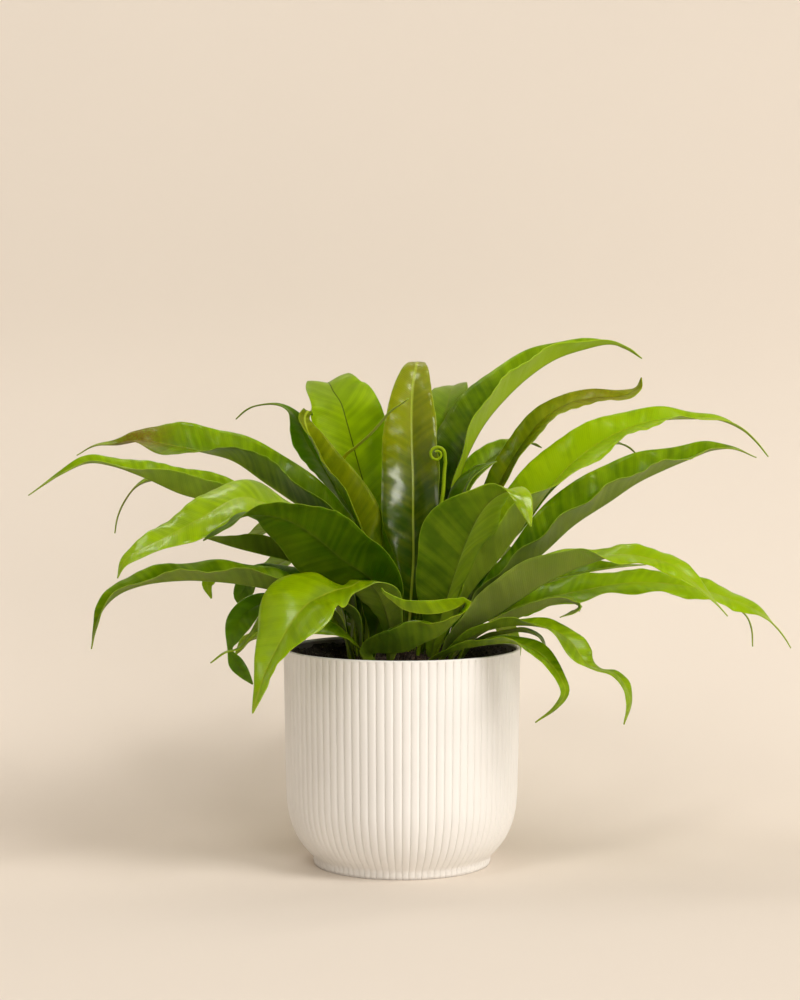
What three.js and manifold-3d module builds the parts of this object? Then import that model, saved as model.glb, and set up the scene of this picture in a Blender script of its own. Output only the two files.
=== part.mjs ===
// Potted strap-fronded fern in a fluted cover pot.
// Millimetres, +Z up, +X to the right and +Y to the back as seen from the front.
// The origin is the middle of the flat underside of the pot.

import * as THREE from "three";
import { mergeVertices } from "three/addons/utils/BufferGeometryUtils.js";
import Module from "manifold-3d";

const wasm = await Module();
wasm.setup();

// Pot
const POT_HEIGHT = 168;
const POT_RIM_RADIUS = 92;
const POT_FOOT_RADIUS = 69;
const POT_WALL = 2.8;
const POT_FLOOR = 6;
const LIP_HEIGHT = 1.6;
const RIB_COUNT = 88;
const RIB_DEPTH = 1.2;
const INNER_SIDES = 44;
// Outside of the pot, from the underside up: height and radius at the rib crests.
const POT_PROFILE = [
  [0, POT_FOOT_RADIUS],
  [6.2, 69.2],
  [11.5, 74.2],
  [20, 80.7],
  [32, 86.0],
  [50, 89.6],
  [POT_HEIGHT - LIP_HEIGHT, POT_RIM_RADIUS],
];
// Inside of the pot, from the rim down: height and radius.
const POT_INSIDE = [
  [POT_HEIGHT, POT_RIM_RADIUS - POT_WALL],
  [100, 88.1],
  [46, 86.0],
  [24, 78.5],
  [13, 69.0],
  [POT_FLOOR, 56.0],
];

// Soil and crown
const GAP = 0.3;
const SOIL_AT_WALL = 162;
const SOIL_AT_CROWN = 149;
const CROWN_RADIUS = 52;
const CROWN_FOOT = 124;
const CROWN_SIDES = 26;
// Underside and side of the soil, from the middle up: height and radius.
const SOIL_SIDE = [
  [POT_FLOOR + GAP, 0],
  [POT_FLOOR + GAP, 55.6],
  [13.2, 68.6],
  [24.2, 78.1],
  [46.2, 85.6],
  [100, 88.1 - GAP],
];
// Top of the crown, from its shoulder in: height and radius.
const CROWN_MOUND = [
  [SOIL_AT_CROWN, CROWN_RADIUS],
  [SOIL_AT_CROWN + 5, CROWN_RADIUS - 2],
  [SOIL_AT_CROWN + 9, 40],
  [SOIL_AT_CROWN + 12, 24],
  [SOIL_AT_CROWN + 13, 0],
];

// Fronds
const STALK_HALF_THICKNESS = 1.5;
const BLADE_HALF_THICKNESS = 0.36;
const MIDRIB_HALF_THICKNESS = 0.8;
const LEAST_HALF_WIDTH = 0.6;
const SEGMENT_LENGTH = 16.6;
const FEWEST_SEGMENTS = 9;
const MOST_SEGMENTS = 18;
const SPAN_STEPS = 24;

// Fronds at the back: foot of the stalk, half widths, straight share, curve, sway, fold and ruffle in degrees
const BACK_STEPS = 9;
const BACK_FOOT = 142;
const BACK_STALK = 2;
const BACK_NECK = 3;
const BACK_TIP = 0.7;
const BACK_STRAIGHT = 0.08;
const BACK_BEND = 1.15;
const BACK_SWAY = 0.16;
const BACK_FOLD = 34;
const BACK_FOLD_AT_TIP = 8;
const BACK_RUFFLE = 8;

// Coil of the young frond: turns, radius at its start and middle, thickness, step to the front
const COIL_TURNS = 1.35;
const COIL_RADIUS = 6.2;
const COIL_MIDDLE = 2.3;
const COIL_THICK = 1.6;
const COIL_TIP = 0.9;
const COIL_STEP = 1.5;

// Colours
const OFF_WHITE = 0xe9e3d8;
const PEAT = 0x1d140d;
const FIBRE = 0x33230f;
const LEAF = 0x5f8f12;
const DEEP_LEAF = 0x37640f;
const OLIVE_LEAF = 0x7d8a1e;
const YOUNG_LEAF = 0x8cbf2a;

const group = new THREE.Group();
group.name = "potted_fern";

// Adds one named body in its own surface.
function addBody(name, geometry, color, roughness) {
  const material = new THREE.MeshStandardMaterial({ color, roughness, metalness: 0 });
  material.name = name + "_surface";
  const mesh = new THREE.Mesh(geometry, material);
  mesh.name = name;
  group.add(mesh);
  return mesh;
}

// A geometry from a list of points and a list of triangles.
function bodyFrom(points, faces) {
  const geometry = new THREE.BufferGeometry();
  geometry.setAttribute("position", new THREE.Float32BufferAttribute(points.flat(), 3));
  geometry.setIndex(faces.flat());
  return geometry;
}

// A solid for joining and cutting.
function solidFrom(geometry) {
  const plain = new THREE.BufferGeometry();
  plain.setAttribute("position", geometry.getAttribute("position"));
  plain.setIndex(geometry.index);
  const merged = mergeVertices(plain, 1e-4);
  return new wasm.Manifold(
    new wasm.Mesh({
      numProp: 3,
      vertProperties: merged.attributes.position.array,
      triVerts: new Uint32Array(merged.index.array),
    }),
  );
}

// A geometry back from a solid.
function geometryFrom(solid) {
  const mesh = solid.getMesh();
  const geometry = new THREE.BufferGeometry();
  geometry.setAttribute("position", new THREE.BufferAttribute(new Float32Array(mesh.vertProperties), 3));
  geometry.setIndex(new THREE.BufferAttribute(new Uint32Array(mesh.triVerts), 1));
  return geometry;
}

// A closed turned body: profile points go from the bottom middle round the outside to the top middle.
function turned(profile, sides) {
  const points = [];
  const faces = [];
  const rows = profile.length;
  for (const [z, r] of profile.slice(1, rows - 1)) {
    for (let i = 0; i < sides; i += 1) {
      const a = (2 * Math.PI * i) / sides;
      points.push([r * Math.cos(a), r * Math.sin(a), z]);
    }
  }
  const bottom = points.push([0, 0, profile[0][0]]) - 1;
  const top = points.push([0, 0, profile[rows - 1][0]]) - 1;
  for (let j = 0; j < rows - 3; j += 1) {
    for (let i = 0; i < sides; i += 1) {
      const next = (i + 1) % sides;
      const a = j * sides + i;
      const b = j * sides + next;
      faces.push([a, b, b + sides], [a, b + sides, a + sides]);
    }
  }
  for (let i = 0; i < sides; i += 1) {
    const next = (i + 1) % sides;
    faces.push([bottom, next, i]);
    faces.push([top, (rows - 3) * sides + i, (rows - 3) * sides + next]);
  }
  return bodyFrom(points, faces);
}

// Three columns to a rib: the groove and the two shoulders of the crest.
function ribColumns() {
  const columns = [];
  for (let i = 0; i < RIB_COUNT; i += 1) {
    columns.push([i, 1], [i + 0.29, 0.1], [i + 0.71, 0.1]);
  }
  return columns.map(([turn, depth]) => [(2 * Math.PI * turn) / RIB_COUNT, depth]);
}

function pot() {
  const columns = ribColumns();
  const wide = columns.length;
  const points = [];
  const faces = [];
  for (const [z, r] of POT_PROFILE) {
    for (const [a, depth] of columns) {
      const s = r - RIB_DEPTH * depth * (r / POT_RIM_RADIUS);
      points.push([s * Math.cos(a), s * Math.sin(a), z]);
    }
  }
  for (const z of [POT_HEIGHT - LIP_HEIGHT + 0.25, POT_HEIGHT]) {
    for (const [a] of columns) {
      points.push([POT_RIM_RADIUS * Math.cos(a), POT_RIM_RADIUS * Math.sin(a), z]);
    }
  }
  const rows = POT_PROFILE.length + 2;
  for (let j = 0; j < rows - 1; j += 1) {
    for (let i = 0; i < wide; i += 1) {
      const a = j * wide + i;
      const b = j * wide + ((i + 1) % wide);
      faces.push([a, b, b + wide], [a, b + wide, a + wide]);
    }
  }
  const base = points.push([0, 0, 0]) - 1;
  for (let i = 0; i < wide; i += 1) {
    faces.push([base, (i + 1) % wide, i]);
  }
  const inside = points.length;
  for (const [z, r] of POT_INSIDE) {
    for (let i = 0; i < INNER_SIDES; i += 1) {
      const a = (2 * Math.PI * i) / INNER_SIDES;
      points.push([r * Math.cos(a), r * Math.sin(a), z]);
    }
  }
  const rim = (rows - 1) * wide;
  const step = wide / INNER_SIDES;
  for (let i = 0; i < INNER_SIDES; i += 1) {
    const here = inside + i;
    const next = inside + ((i + 1) % INNER_SIDES);
    for (let k = 0; k < step; k += 1) {
      const o = rim + i * step + k;
      const p = rim + ((i * step + k + 1) % wide);
      faces.push([o, p, k < step / 2 ? here : next]);
      if (k === step / 2 - 1) {
        faces.push([p, next, here]);
      }
    }
    for (let j = 0; j < POT_INSIDE.length - 1; j += 1) {
      const a = here + j * INNER_SIDES;
      const b = next + j * INNER_SIDES;
      faces.push([a, b, b + INNER_SIDES], [a, b + INNER_SIDES, a + INNER_SIDES]);
    }
  }
  const floor = points.push([0, 0, POT_FLOOR]) - 1;
  const last = inside + (POT_INSIDE.length - 1) * INNER_SIDES;
  for (let i = 0; i < INNER_SIDES; i += 1) {
    faces.push([floor, last + i, last + ((i + 1) % INNER_SIDES)]);
  }
  return bodyFrom(points, faces);
}

// Radius of the inside of the pot at a height.
function insideRadius(z) {
  for (let j = 1; j < POT_INSIDE.length; j += 1) {
    const [z0, r0] = POT_INSIDE[j - 1];
    const [z1, r1] = POT_INSIDE[j];
    if (z >= z1) {
      return r1 + ((r0 - r1) * (z - z1)) / (z0 - z1);
    }
  }
  return POT_INSIDE[POT_INSIDE.length - 1][1];
}

function soil() {
  const hole = CROWN_RADIUS + GAP;
  const profile = [
    ...SOIL_SIDE,
    [SOIL_AT_WALL, insideRadius(SOIL_AT_WALL) - GAP],
    [SOIL_AT_WALL + 0.5, 78],
    [SOIL_AT_WALL - 2, 64],
    [SOIL_AT_CROWN + 1, hole],
    [CROWN_FOOT - GAP, hole],
    [CROWN_FOOT - GAP, 0],
  ];
  return turned(profile, INNER_SIDES);
}

function crownMound() {
  const profile = [[CROWN_FOOT, 0], [CROWN_FOOT, CROWN_RADIUS], ...CROWN_MOUND];
  return turned(profile, CROWN_SIDES);
}

// Smooth line through the stations, all six values of a station carried along it.
function throughStations(stations) {
  const first = stations[0].map((v, c) => 2 * v - stations[1][c]);
  const n = stations.length;
  const last = stations[n - 1].map((v, c) => 2 * v - stations[n - 2][c]);
  const all = [first, ...stations, last];
  const gap = [];
  for (let i = 0; i < all.length - 1; i += 1) {
    const [p, q] = [all[i], all[i + 1]];
    gap.push(Math.sqrt(Math.hypot(q[0] - p[0], q[1] - p[1], q[2] - p[2])));
  }
  const out = [];
  for (let i = 0; i < n - 1; i += 1) {
    const [w, x, y, z] = [all[i], all[i + 1], all[i + 2], all[i + 3]];
    const [a, b, c] = [gap[i], gap[i + 1], gap[i + 2]];
    for (let s = 0; s < SPAN_STEPS; s += 1) {
      const t = s / SPAN_STEPS;
      const h = [
        2 * t ** 3 - 3 * t ** 2 + 1,
        t ** 3 - 2 * t ** 2 + t,
        3 * t ** 2 - 2 * t ** 3,
        t ** 3 - t ** 2,
      ];
      out.push(
        x.map((v, k) => {
          const m1 = b * ((v - w[k]) / a - (y[k] - w[k]) / (a + b) + (y[k] - v) / b);
          const m2 = b * ((y[k] - v) / b - (z[k] - v) / (b + c) + (z[k] - y[k]) / c);
          return h[0] * v + h[1] * m1 + h[2] * y[k] + h[3] * m2;
        }),
      );
    }
  }
  out.push(stations[n - 1].slice());
  return out;
}

// The same line cut into equal lengths.
function evenly(line, count) {
  const run = [0];
  for (let i = 1; i < line.length; i += 1) {
    const [p, q] = [line[i - 1], line[i]];
    run.push(run[i - 1] + Math.hypot(q[0] - p[0], q[1] - p[1], q[2] - p[2]));
  }
  const total = run[run.length - 1];
  const wanted = count || Math.round(total / SEGMENT_LENGTH);
  const segments = Math.min(MOST_SEGMENTS, Math.max(FEWEST_SEGMENTS, wanted));
  const out = [];
  let j = 0;
  for (let i = 0; i <= segments; i += 1) {
    const d = (total * i) / segments;
    while (j < line.length - 2 && run[j + 1] < d) {
      j += 1;
    }
    const t = (d - run[j]) / (run[j + 1] - run[j]);
    out.push(line[j].map((v, k) => v + t * (line[j + 1][k] - v)));
  }
  return out;
}

const along = (p, u, s) => [p[0] + u[0] * s, p[1] + u[1] * s, p[2] + u[2] * s];
const mix = (u, a, v, b) => [u[0] * a + v[0] * b, u[1] * a + v[1] * b, u[2] * a + v[2] * b];
const dot = (u, v) => u[0] * v[0] + u[1] * v[1] + u[2] * v[2];
const unit = (u) => mix(u, 1 / Math.hypot(...u), u, 0);
const cross = (u, v) => [u[1] * v[2] - u[2] * v[1], u[2] * v[0] - u[0] * v[2], u[0] * v[1] - u[1] * v[0]];

// The six corners of a frond at each station, grown outwards by a margin.
function frondRows({ heading, wave, stations }, grow) {
  const rows = evenly(throughStations(stations));
  const n = rows.length - 1;
  const a = (heading * Math.PI) / 180;
  const level = [-Math.sin(a), Math.cos(a), 0];
  const [amount, count, phase] = wave;
  return rows.map((row, i) => {
    const before = rows[Math.max(0, i - 1)];
    const after = rows[Math.min(n, i + 1)];
    const forward = unit([after[0] - before[0], after[1] - before[1], after[2] - before[2]]);
    const side = unit(mix(level, 1, forward, -dot(level, forward)));
    const up = cross(forward, side);
    const half = Math.max(LEAST_HALF_WIDTH, row[3]);
    const left = (row[4] * Math.PI) / 180;
    const right = (row[5] * Math.PI) / 180;
    const ease = Math.min(1, Math.max(0, (half - 2.5) / 8));
    const k = i / n;
    const waveLeft = amount * ease * Math.sin(2 * Math.PI * count * k + phase);
    const waveRight = amount * ease * Math.sin(2 * Math.PI * (count + 0.6) * k + phase + 2.1);
    const leftOut = mix(side, Math.cos(left), up, Math.sin(left));
    const leftUp = mix(side, -Math.sin(left), up, Math.cos(left));
    const rightOut = mix(side, -Math.cos(right), up, Math.sin(right));
    const rightUp = mix(side, Math.sin(right), up, Math.cos(right));
    const stalk = Math.min(1, Math.max(0, (5 - half) / 3)) * Math.min(1, Math.max(0, 1.6 - 5 * k));
    const blade = 1 - stalk;
    const tip = Math.min(1, half / 3);
    const edge = stalk * 0.7 + blade * BLADE_HALF_THICKNESS + grow;
    const rib = stalk * STALK_HALF_THICKNESS + blade * (0.45 + (MIDRIB_HALF_THICKNESS - 0.45) * tip) + grow;
    const bisector = mix(leftUp, 0.5, rightUp, 0.5);
    const spread = Math.max(0.42, Math.hypot(...bisector));
    const ribUp = mix(bisector, 1 / (spread * spread), bisector, 0);
    const p = row.slice(0, 3);
    const l = along(along(p, leftOut, half + grow), leftUp, waveLeft);
    const r = along(along(p, rightOut, half + grow), rightUp, waveRight);
    return [
      along(l, leftUp, edge),
      along(p, ribUp, rib * 0.6),
      along(r, rightUp, edge),
      along(r, rightUp, -edge),
      along(p, ribUp, -rib),
      along(l, leftUp, -edge),
    ];
  });
}

// A closed thin body through rows of six corners.
function ribbon(rows) {
  const points = rows.flat();
  const faces = [];
  for (let i = 0; i < rows.length - 1; i += 1) {
    for (let k = 0; k < 6; k += 1) {
      const a = 6 * i + k;
      const b = 6 * i + ((k + 1) % 6);
      // The lower face is cut on the same diagonals as the upper one.
      if (k === 0 || k === 1 || k === 2) {
        faces.push([a, b, b + 6], [a, b + 6, a + 6]);
      } else {
        faces.push([a, b, a + 6], [b, b + 6, a + 6]);
      }
    }
  }
  const end = 6 * (rows.length - 1);
  for (const [p, q, r] of [[0, 5, 1], [1, 5, 4], [1, 4, 2], [2, 4, 3]]) {
    faces.push([p, q, r], [end + p, end + r, end + q]);
  }
  return bodyFrom(points, faces);
}

// Young coiled frond: places and radius of its stem, and the middle of the coil.
const CROZIER_RADIUS = 1.9;
const CROZIER_STEPS = 20;
const CROZIER_STEM = [
  [13, -4, 142, 1.9],
  [13, -4, 166, 1.9],
  [30, -4, 205, 1.8],
  [28, -4, 236, 1.7],
  [29, -3, 267, 1.7],
  [32, -2, 290, 1.7],
  [33, -2, 306, 1.6],
  [34, -2, 314, 1.6],
];
const CROZIER_CENTRE = [27, -2, 318];

// Fronds seen from the front. A station is x, y, z of the midrib, half width, and how far the left
// and the right half of the blade are raised, in degrees.
const FRONDS = [
  {
    name: "frond_left_01",
    heading: 150,
    wave: [1.2, 4, 0.5],
    color: DEEP_LEAF,
    stations: [
      [-17, 25, 142, 2, 0, 0],
      [-17.9, 26.2, 158, 2, 0, 0],
      [-40, 40, 257, 7, 0, 20],
      [-54, 56, 288, 10, -5, 25],
      [-66, 67, 308, 12.5, -15, 30],
      [-78, 76, 327, 13, -22, 26],
      [-83, 81, 340, 10.5, -20, 22],
      [-90, 86, 350, 5.5, 0, 18],
      [-102, 91, 356, 3.2, 10, 20],
      [-119, 96, 355, 2.4, 0, 10],
      [-128, 99, 351, 1.6, 0, 0],
      [-136, 101, 344, 0.7, 0, 0],
    ],
  },
  {
    name: "frond_left_02",
    heading: 172,
    wave: [2.5, 6, 0],
    color: LEAF,
    stations: [
      [-24, 8, 142, 2, 0, 0],
      [-25.2, 8.4, 158, 2, 0, 0],
      [-31, 9, 234, 11, 30, 45],
      [-52, 15, 257, 19, 38, 62],
      [-80, 27, 277, 25, 42, 78],
      [-109, 40, 296, 25, 44, 80],
      [-134, 50, 312, 22, 35, 75],
      [-158, 56, 318, 21, -5, 72],
      [-184, 61, 323, 20, -15, 75],
      [-209, 66, 327, 12, -10, 62],
      [-229, 70, 324, 6, 0, 45],
      [-248, 74, 323, 3, 0, 20],
      [-263, 77, 315, 0.7, 0, 0],
    ],
  },
  {
    name: "frond_left_03",
    heading: 185,
    wave: [2.2, 6, 1],
    color: LEAF,
    stations: [
      [-30, 0, 142, 2, 0, 0],
      [-31.5, 0, 158, 2, 0, 0],
      [-40, 2, 220, 9, 30, 35],
      [-79, 0, 250, 16, 40, 55],
      [-118, -3, 271, 20, 48, 65],
      [-150, -6, 283, 22, 50, 70],
      [-171, -9, 289, 21, 48, 68],
      [-198, -13, 301, 15, 30, 50],
      [-223, -16, 310, 9, 10, 50],
      [-241, -18, 312, 7, 0, 50],
      [-262, -20, 303, 4, 0, 40],
      [-276, -21, 294, 2, 0, 20],
      [-286, -22, 287, 0.7, 0, 0],
    ],
  },
  {
    name: "frond_left_04",
    heading: 176,
    wave: [1, 5, 2],
    color: LEAF,
    stations: [
      [-33, 10, 142, 2, 0, 0],
      [-34.6, 10.5, 158, 2, 0, 0],
      [-48, 14, 223, 6, 20, 30],
      [-88, 16, 250, 9, 30, 45],
      [-127, 19, 275, 10, 30, 50],
      [-158, 18, 289, 9, 20, 50],
      [-183, 16, 297, 7, 10, 50],
      [-197, 15, 297, 5, 10, 40],
      [-208, 13, 292, 3.4, 0, 20],
      [-217, 11, 280, 2.8, 0, 0],
      [-222, 10, 268, 2, 0, 0],
      [-224, 9, 256, 0.7, 0, 0],
    ],
  },
  {
    name: "frond_left_05",
    heading: 207,
    wave: [2, 6, 0.4],
    color: LEAF,
    stations: [
      [-26, -6, 142, 2, 0, 0],
      [-27.3, -6.3, 158, 2, 0, 0],
      [-32, -13, 217, 11, 20, 30],
      [-55, -22, 241, 18, 15, 40],
      [-78, -33, 264, 20, 0, 45],
      [-101, -47, 281, 21, -20, 42],
      [-121, -61, 287, 20, -28, 36],
      [-150, -79, 272, 17, -38, 38],
      [-174, -90, 259, 12.5, -38, 40],
      [-192, -97, 250, 8, -30, 40],
      [-203, -101, 242, 5, -20, 30],
      [-208, -103, 230, 0.7, 0, 0],
    ],
  },
  {
    name: "frond_left_06",
    heading: 222,
    wave: [2.2, 5, 1.3],
    color: DEEP_LEAF,
    stations: [
      [-22, -15, 142, 2, 0, 0],
      [-23.1, -15.8, 158, 2, 0, 0],
      [-18, -28, 215, 20, 38, -30],
      [-47, -52, 242, 29, 42, -50],
      [-64, -68, 258, 28, 40, -45],
      [-83, -81, 271, 23, 36, -36],
      [-101, -91, 276, 15, 30, -20],
      [-117, -96, 275, 9.5, 20, -5],
      [-130, -96, 267, 6, 20, -5],
      [-139, -94, 262, 3.5, 0, 0],
      [-146, -93, 257, 0.7, 0, 0],
    ],
  },
  {
    name: "frond_left_07",
    heading: 197,
    wave: [2.2, 6, 0.8],
    color: LEAF,
    stations: [
      [-28, -16, 142, 2, 0, 0],
      [-29.4, -16.8, 158, 2, 0, 0],
      [-40, -30, 198, 9, 20, 25],
      [-70, -40, 210, 15, 30, 45],
      [-96, -48, 217, 18, 38, 55],
      [-119, -55, 222, 19, 36, 55],
      [-142, -61, 225, 18, 32, 52],
      [-164, -66, 226, 16, 28, 50],
      [-193, -73, 223, 12, 25, 55],
      [-211, -77, 216, 9, 20, 50],
      [-222, -80, 205, 6, 10, 50],
      [-227, -82, 191, 3.5, 0, 30],
      [-230, -84, 176, 0.7, 0, 0],
    ],
  },
  {
    name: "frond_left_08",
    heading: 190,
    wave: [1.2, 4, 0.2],
    color: LEAF,
    stations: [
      [-38, -8, 142, 2, 0, 0],
      [-39.9, -8.4, 158, 2, 0, 0],
      [-56, -12, 209, 7, 20, 30],
      [-90, -16, 222, 8, 20, 35],
      [-120, -20, 229, 8, 20, 40],
      [-138, -22, 228, 7, -5, 50],
      [-149, -23, 220, 5, -55, 65],
      [-146, -24, 208, 0.7, -65, 70],
    ],
  },
  {
    name: "frond_left_09",
    heading: 238,
    wave: [1.4, 4, 0.4],
    color: LEAF,
    stations: [
      [-9, -34, 142, 2, 0, 0],
      [-9.5, -35.7, 158, 2, 0, 0],
      [-8, -39, 178, 8, 20, 10],
      [-12, -47, 200, 13, 15, 5],
      [-20, -58, 218, 18, 5, -10],
      [-29, -67, 225, 12, 0, -10],
      [-39, -75, 221, 9, -10, 0],
      [-49, -80, 219, 20, -18, 22],
      [-59, -84, 215, 28, 0, 26],
      [-69, -90, 210, 33, 8, 22],
      [-79, -98, 199, 33, 10, 10],
      [-89, -105, 183, 22, 18, 6],
      [-99, -109, 162, 11, 30, 4],
      [-105, -111, 145, 5, 15, 0],
      [-109, -112, 132, 0.7, 0, 0],
    ],
  },
  {
    name: "frond_left_10",
    heading: 203,
    wave: [1.5, 4, 0.6],
    color: DEEP_LEAF,
    stations: [
      [-34, -22, 142, 2, 0, 0],
      [-35.7, -23.1, 158, 2, 0, 0],
      [-55, -34, 199, 8, 10, 20],
      [-85, -42, 206, 10, 10, 30],
      [-105, -47, 206, 10.5, -10, 38],
      [-117, -49, 200, 10.5, -35, 55],
      [-124, -50, 191, 9.5, -60, 68],
      [-128, -50, 180, 5.5, -72, 76],
      [-130, -50, 172, 2, -75, 80],
      [-126, -49, 162, 5.6, -75, 80],
      [-120, -48, 154, 4.6, -75, 80],
      [-113, -47, 145, 0.7, -75, 80],
    ],
  },
  {
    name: "frond_left_11",
    heading: 214,
    wave: [1, 4, 0],
    color: LEAF,
    stations: [
      [-24, -27, 142, 2, 0, 0],
      [-25.2, -28.4, 158, 2, 0, 0],
      [-51, -50, 191, 12, -50, 20],
      [-79, -62, 199, 14, -60, 20],
      [-100, -68, 198, 9, -40, 20],
      [-112, -70, 186, 3.2, 0, 10],
      [-122, -71, 175, 2.4, 0, 0],
      [-132, -71, 172, 2, 0, 0],
      [-143, -71, 164, 0.7, 0, 0],
    ],
  },
  {
    name: "frond_left_12",
    heading: 184,
    wave: [1.5, 4, 0.9],
    color: DEEP_LEAF,
    stations: [
      [-37, 1, 142, 2, 0, 0],
      [-38.9, 1.1, 158, 2, 0, 0],
      [-44, -3, 211, 9, 40, 30],
      [-84, -6, 235, 15, 60, 40],
      [-109, -8, 242, 15, 66, 40],
      [-128, -10, 247, 12, 60, 40],
      [-144, -12, 252, 6, 40, 35],
      [-154, -13, 255, 0.7, 0, 0],
    ],
  },
  {
    name: "frond_left_13",
    heading: 176,
    wave: [1.5, 4, 0.9],
    color: DEEP_LEAF,
    stations: [
      [-39, 17, 142, 2, 0, 0],
      [-41, 17.9, 158, 2, 0, 0],
      [-53, 20, 206, 9, 20, 30],
      [-88, 23, 220, 12, 10, 45],
      [-110, 24, 221, 12, -10, 52],
      [-122, 24, 214, 11, -40, 64],
      [-127, 24, 205, 7, -60, 70],
      [-126, 24, 197, 0.7, -65, 70],
    ],
  },
  {
    name: "frond_middle_01",
    heading: 104,
    wave: [1.4, 5, 0.5],
    color: LEAF,
    stations: [
      [-6, 24, 142, 2, 0, 0],
      [-6.3, 25.2, 158, 2, 0, 0],
      [-14, 30, 234, 11, 15, 15],
      [-22, 37, 265, 18, 20, 15],
      [-29, 44, 288, 24, 18, 12],
      [-37, 52, 316, 29, 15, 10],
      [-44, 58, 341, 31, 15, 8],
      [-49, 63, 357, 29, 18, 10],
      [-55, 68, 366, 25, 12, 14],
      [-59, 76, 373, 19, 2, 24],
      [-64, 90, 370, 9, 0, 0],
      [-68, 102, 360, 4, 0, 0],
      [-71, 110, 345, 0.7, 0, 0],
    ],
  },
  {
    name: "frond_middle_02",
    heading: 135,
    wave: [1.2, 5, 0.2],
    color: OLIVE_LEAF,
    stations: [
      [-12, 6, 142, 2, 0, 0],
      [-12.6, 6.3, 158, 2, 0, 0],
      [-23, 9, 239, 10, 25, 25],
      [-34, 12, 262, 20, 50, 42],
      [-41, 15, 276, 21, 50, 44],
      [-50, 18, 291, 19, 50, 44],
      [-60, 21, 307, 16, 48, 44],
      [-68, 24, 323, 12, 42, 40],
      [-75, 28, 336, 8.5, 30, 30],
      [-77, 33, 346, 6, 10, 10],
      [-74, 38, 351, 3.5, 0, 0],
      [-71, 43, 348, 0.7, 0, 0],
    ],
  },
  {
    name: "frond_middle_03",
    heading: 90,
    wave: [1, 7, 0.9],
    color: OLIVE_LEAF,
    stations: [
      [4, 10, 142, 2, 0, 0],
      [4.2, 10.5, 158, 2, 0, 0],
      [7, 9, 204, 7, 20, 25],
      [9, 12, 235, 15, 20, 30],
      [9, 16, 266, 25, 12, 38],
      [9, 20, 297, 25.5, 12, 38],
      [8, 25, 328, 24, 14, 36],
      [8, 31, 356, 19, 12, 26],
      [9, 36, 372, 14.5, 10, 16],
      [11, 42, 384, 10.5, 4, 4],
      [12, 48, 389, 7.5, -4, -6],
      [13, 55, 390, 6, -10, -12],
      [15, 62, 387, 5, -10, -10],
      [17, 67, 377, 3.4, 0, 0],
      [19, 70, 367, 0.7, 0, 0],
    ],
  },
  {
    name: "frond_middle_04",
    heading: 78,
    wave: [1.2, 5, 0.1],
    color: LEAF,
    stations: [
      [8, 31, 142, 2, 0, 0],
      [8.4, 32.6, 158, 2, 0, 0],
      [15, 46, 240, 8, 10, 10],
      [21, 60, 280, 15, 10, 8],
      [28, 71, 311, 20, 8, 0],
      [34, 80, 340, 21, 5, 0],
      [38, 87, 360, 17.5, 0, 6],
      [41, 94, 369, 14, -4, 12],
      [43, 104, 371, 9, -5, 10],
      [45, 114, 363, 5, 0, 0],
      [46, 120, 351, 0.7, 0, 0],
    ],
  },
  {
    name: "frond_middle_05",
    heading: 110,
    wave: [0, 1, 0],
    color: OLIVE_LEAF,
    stations: [
      [-16, 14, 142, 2, 0, 0],
      [-16.8, 14.7, 158, 2, 0, 0],
      [-20, 19, 234, 2.2, 0, 0],
      [-30, 23, 266, 2.6, 0, 0],
      [-38, 26, 289, 2.6, 0, 0],
      [-45, 28, 305, 2.2, 0, 0],
      [-46, 27, 314, 1.8, 0, 0],
      [-35, 24, 324, 1.5, 0, 0],
      [-25, 20, 333, 1.3, 0, 0],
      [-16, 17, 343, 1.2, 0, 0],
      [-9, 14, 351, 1.1, 0, 0],
      [1, 11, 358, 0.9, 0, 0],
      [5, 9, 361, 0.6, 0, 0],
    ],
  },
  {
    name: "frond_front_01",
    heading: 0,
    wave: [0.8, 4, 0],
    color: LEAF,
    stations: [
      [-18, -37, 142, 2, 0, 0],
      [-18.9, -38.9, 158, 2, 0, 0],
      [-24, -46, 169, 9, 70, 50],
      [-11, -57, 171, 17, 75, 62],
      [1, -66, 173, 20, 70, 68],
      [13, -73, 179, 21, 45, 66],
      [27, -80, 186, 17, 15, 58],
      [38, -86, 196, 11, 0, 40],
      [46, -90, 206, 7, 0, 0],
      [47, -93, 212, 5, 0, -40],
      [40, -95, 208, 8, 0, -70],
      [26, -96, 204, 10, 0, -75],
      [13, -96, 204, 10, 0, -75],
      [1, -96, 207, 8, 0, -70],
      [-7, -95, 213, 5, 0, -50],
      [-13, -94, 218, 3.5, 0, -30],
      [-15, -93, 222, 0.7, 0, 0],
    ],
  },
  {
    name: "frond_right_01",
    heading: 45,
    wave: [1.6, 7, 0.3],
    color: LEAF,
    stations: [
      [15, 15, 142, 2, 0, 0],
      [15.8, 15.8, 158, 2, 0, 0],
      [31, 20, 234, 12, 20, 30],
      [36, 28, 265, 19, 22, 44],
      [44, 40, 295, 27, 24, 52],
      [54, 50, 320, 32, 26, 54],
      [66, 60, 341, 32, 28, 56],
      [83, 73, 361, 28, 34, 57],
      [104, 86, 380, 22, 40, 58],
      [126, 98, 394, 16, 44, 56],
      [150, 109, 402, 11, 44, 44],
      [172, 117, 406, 5.5, 20, 20],
      [187, 122, 402, 3, 0, 0],
      [199, 125, 394, 0.7, 0, 0],
    ],
  },
  {
    name: "frond_right_02",
    heading: 30,
    wave: [1, 6, 0.7],
    color: OLIVE_LEAF,
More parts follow.
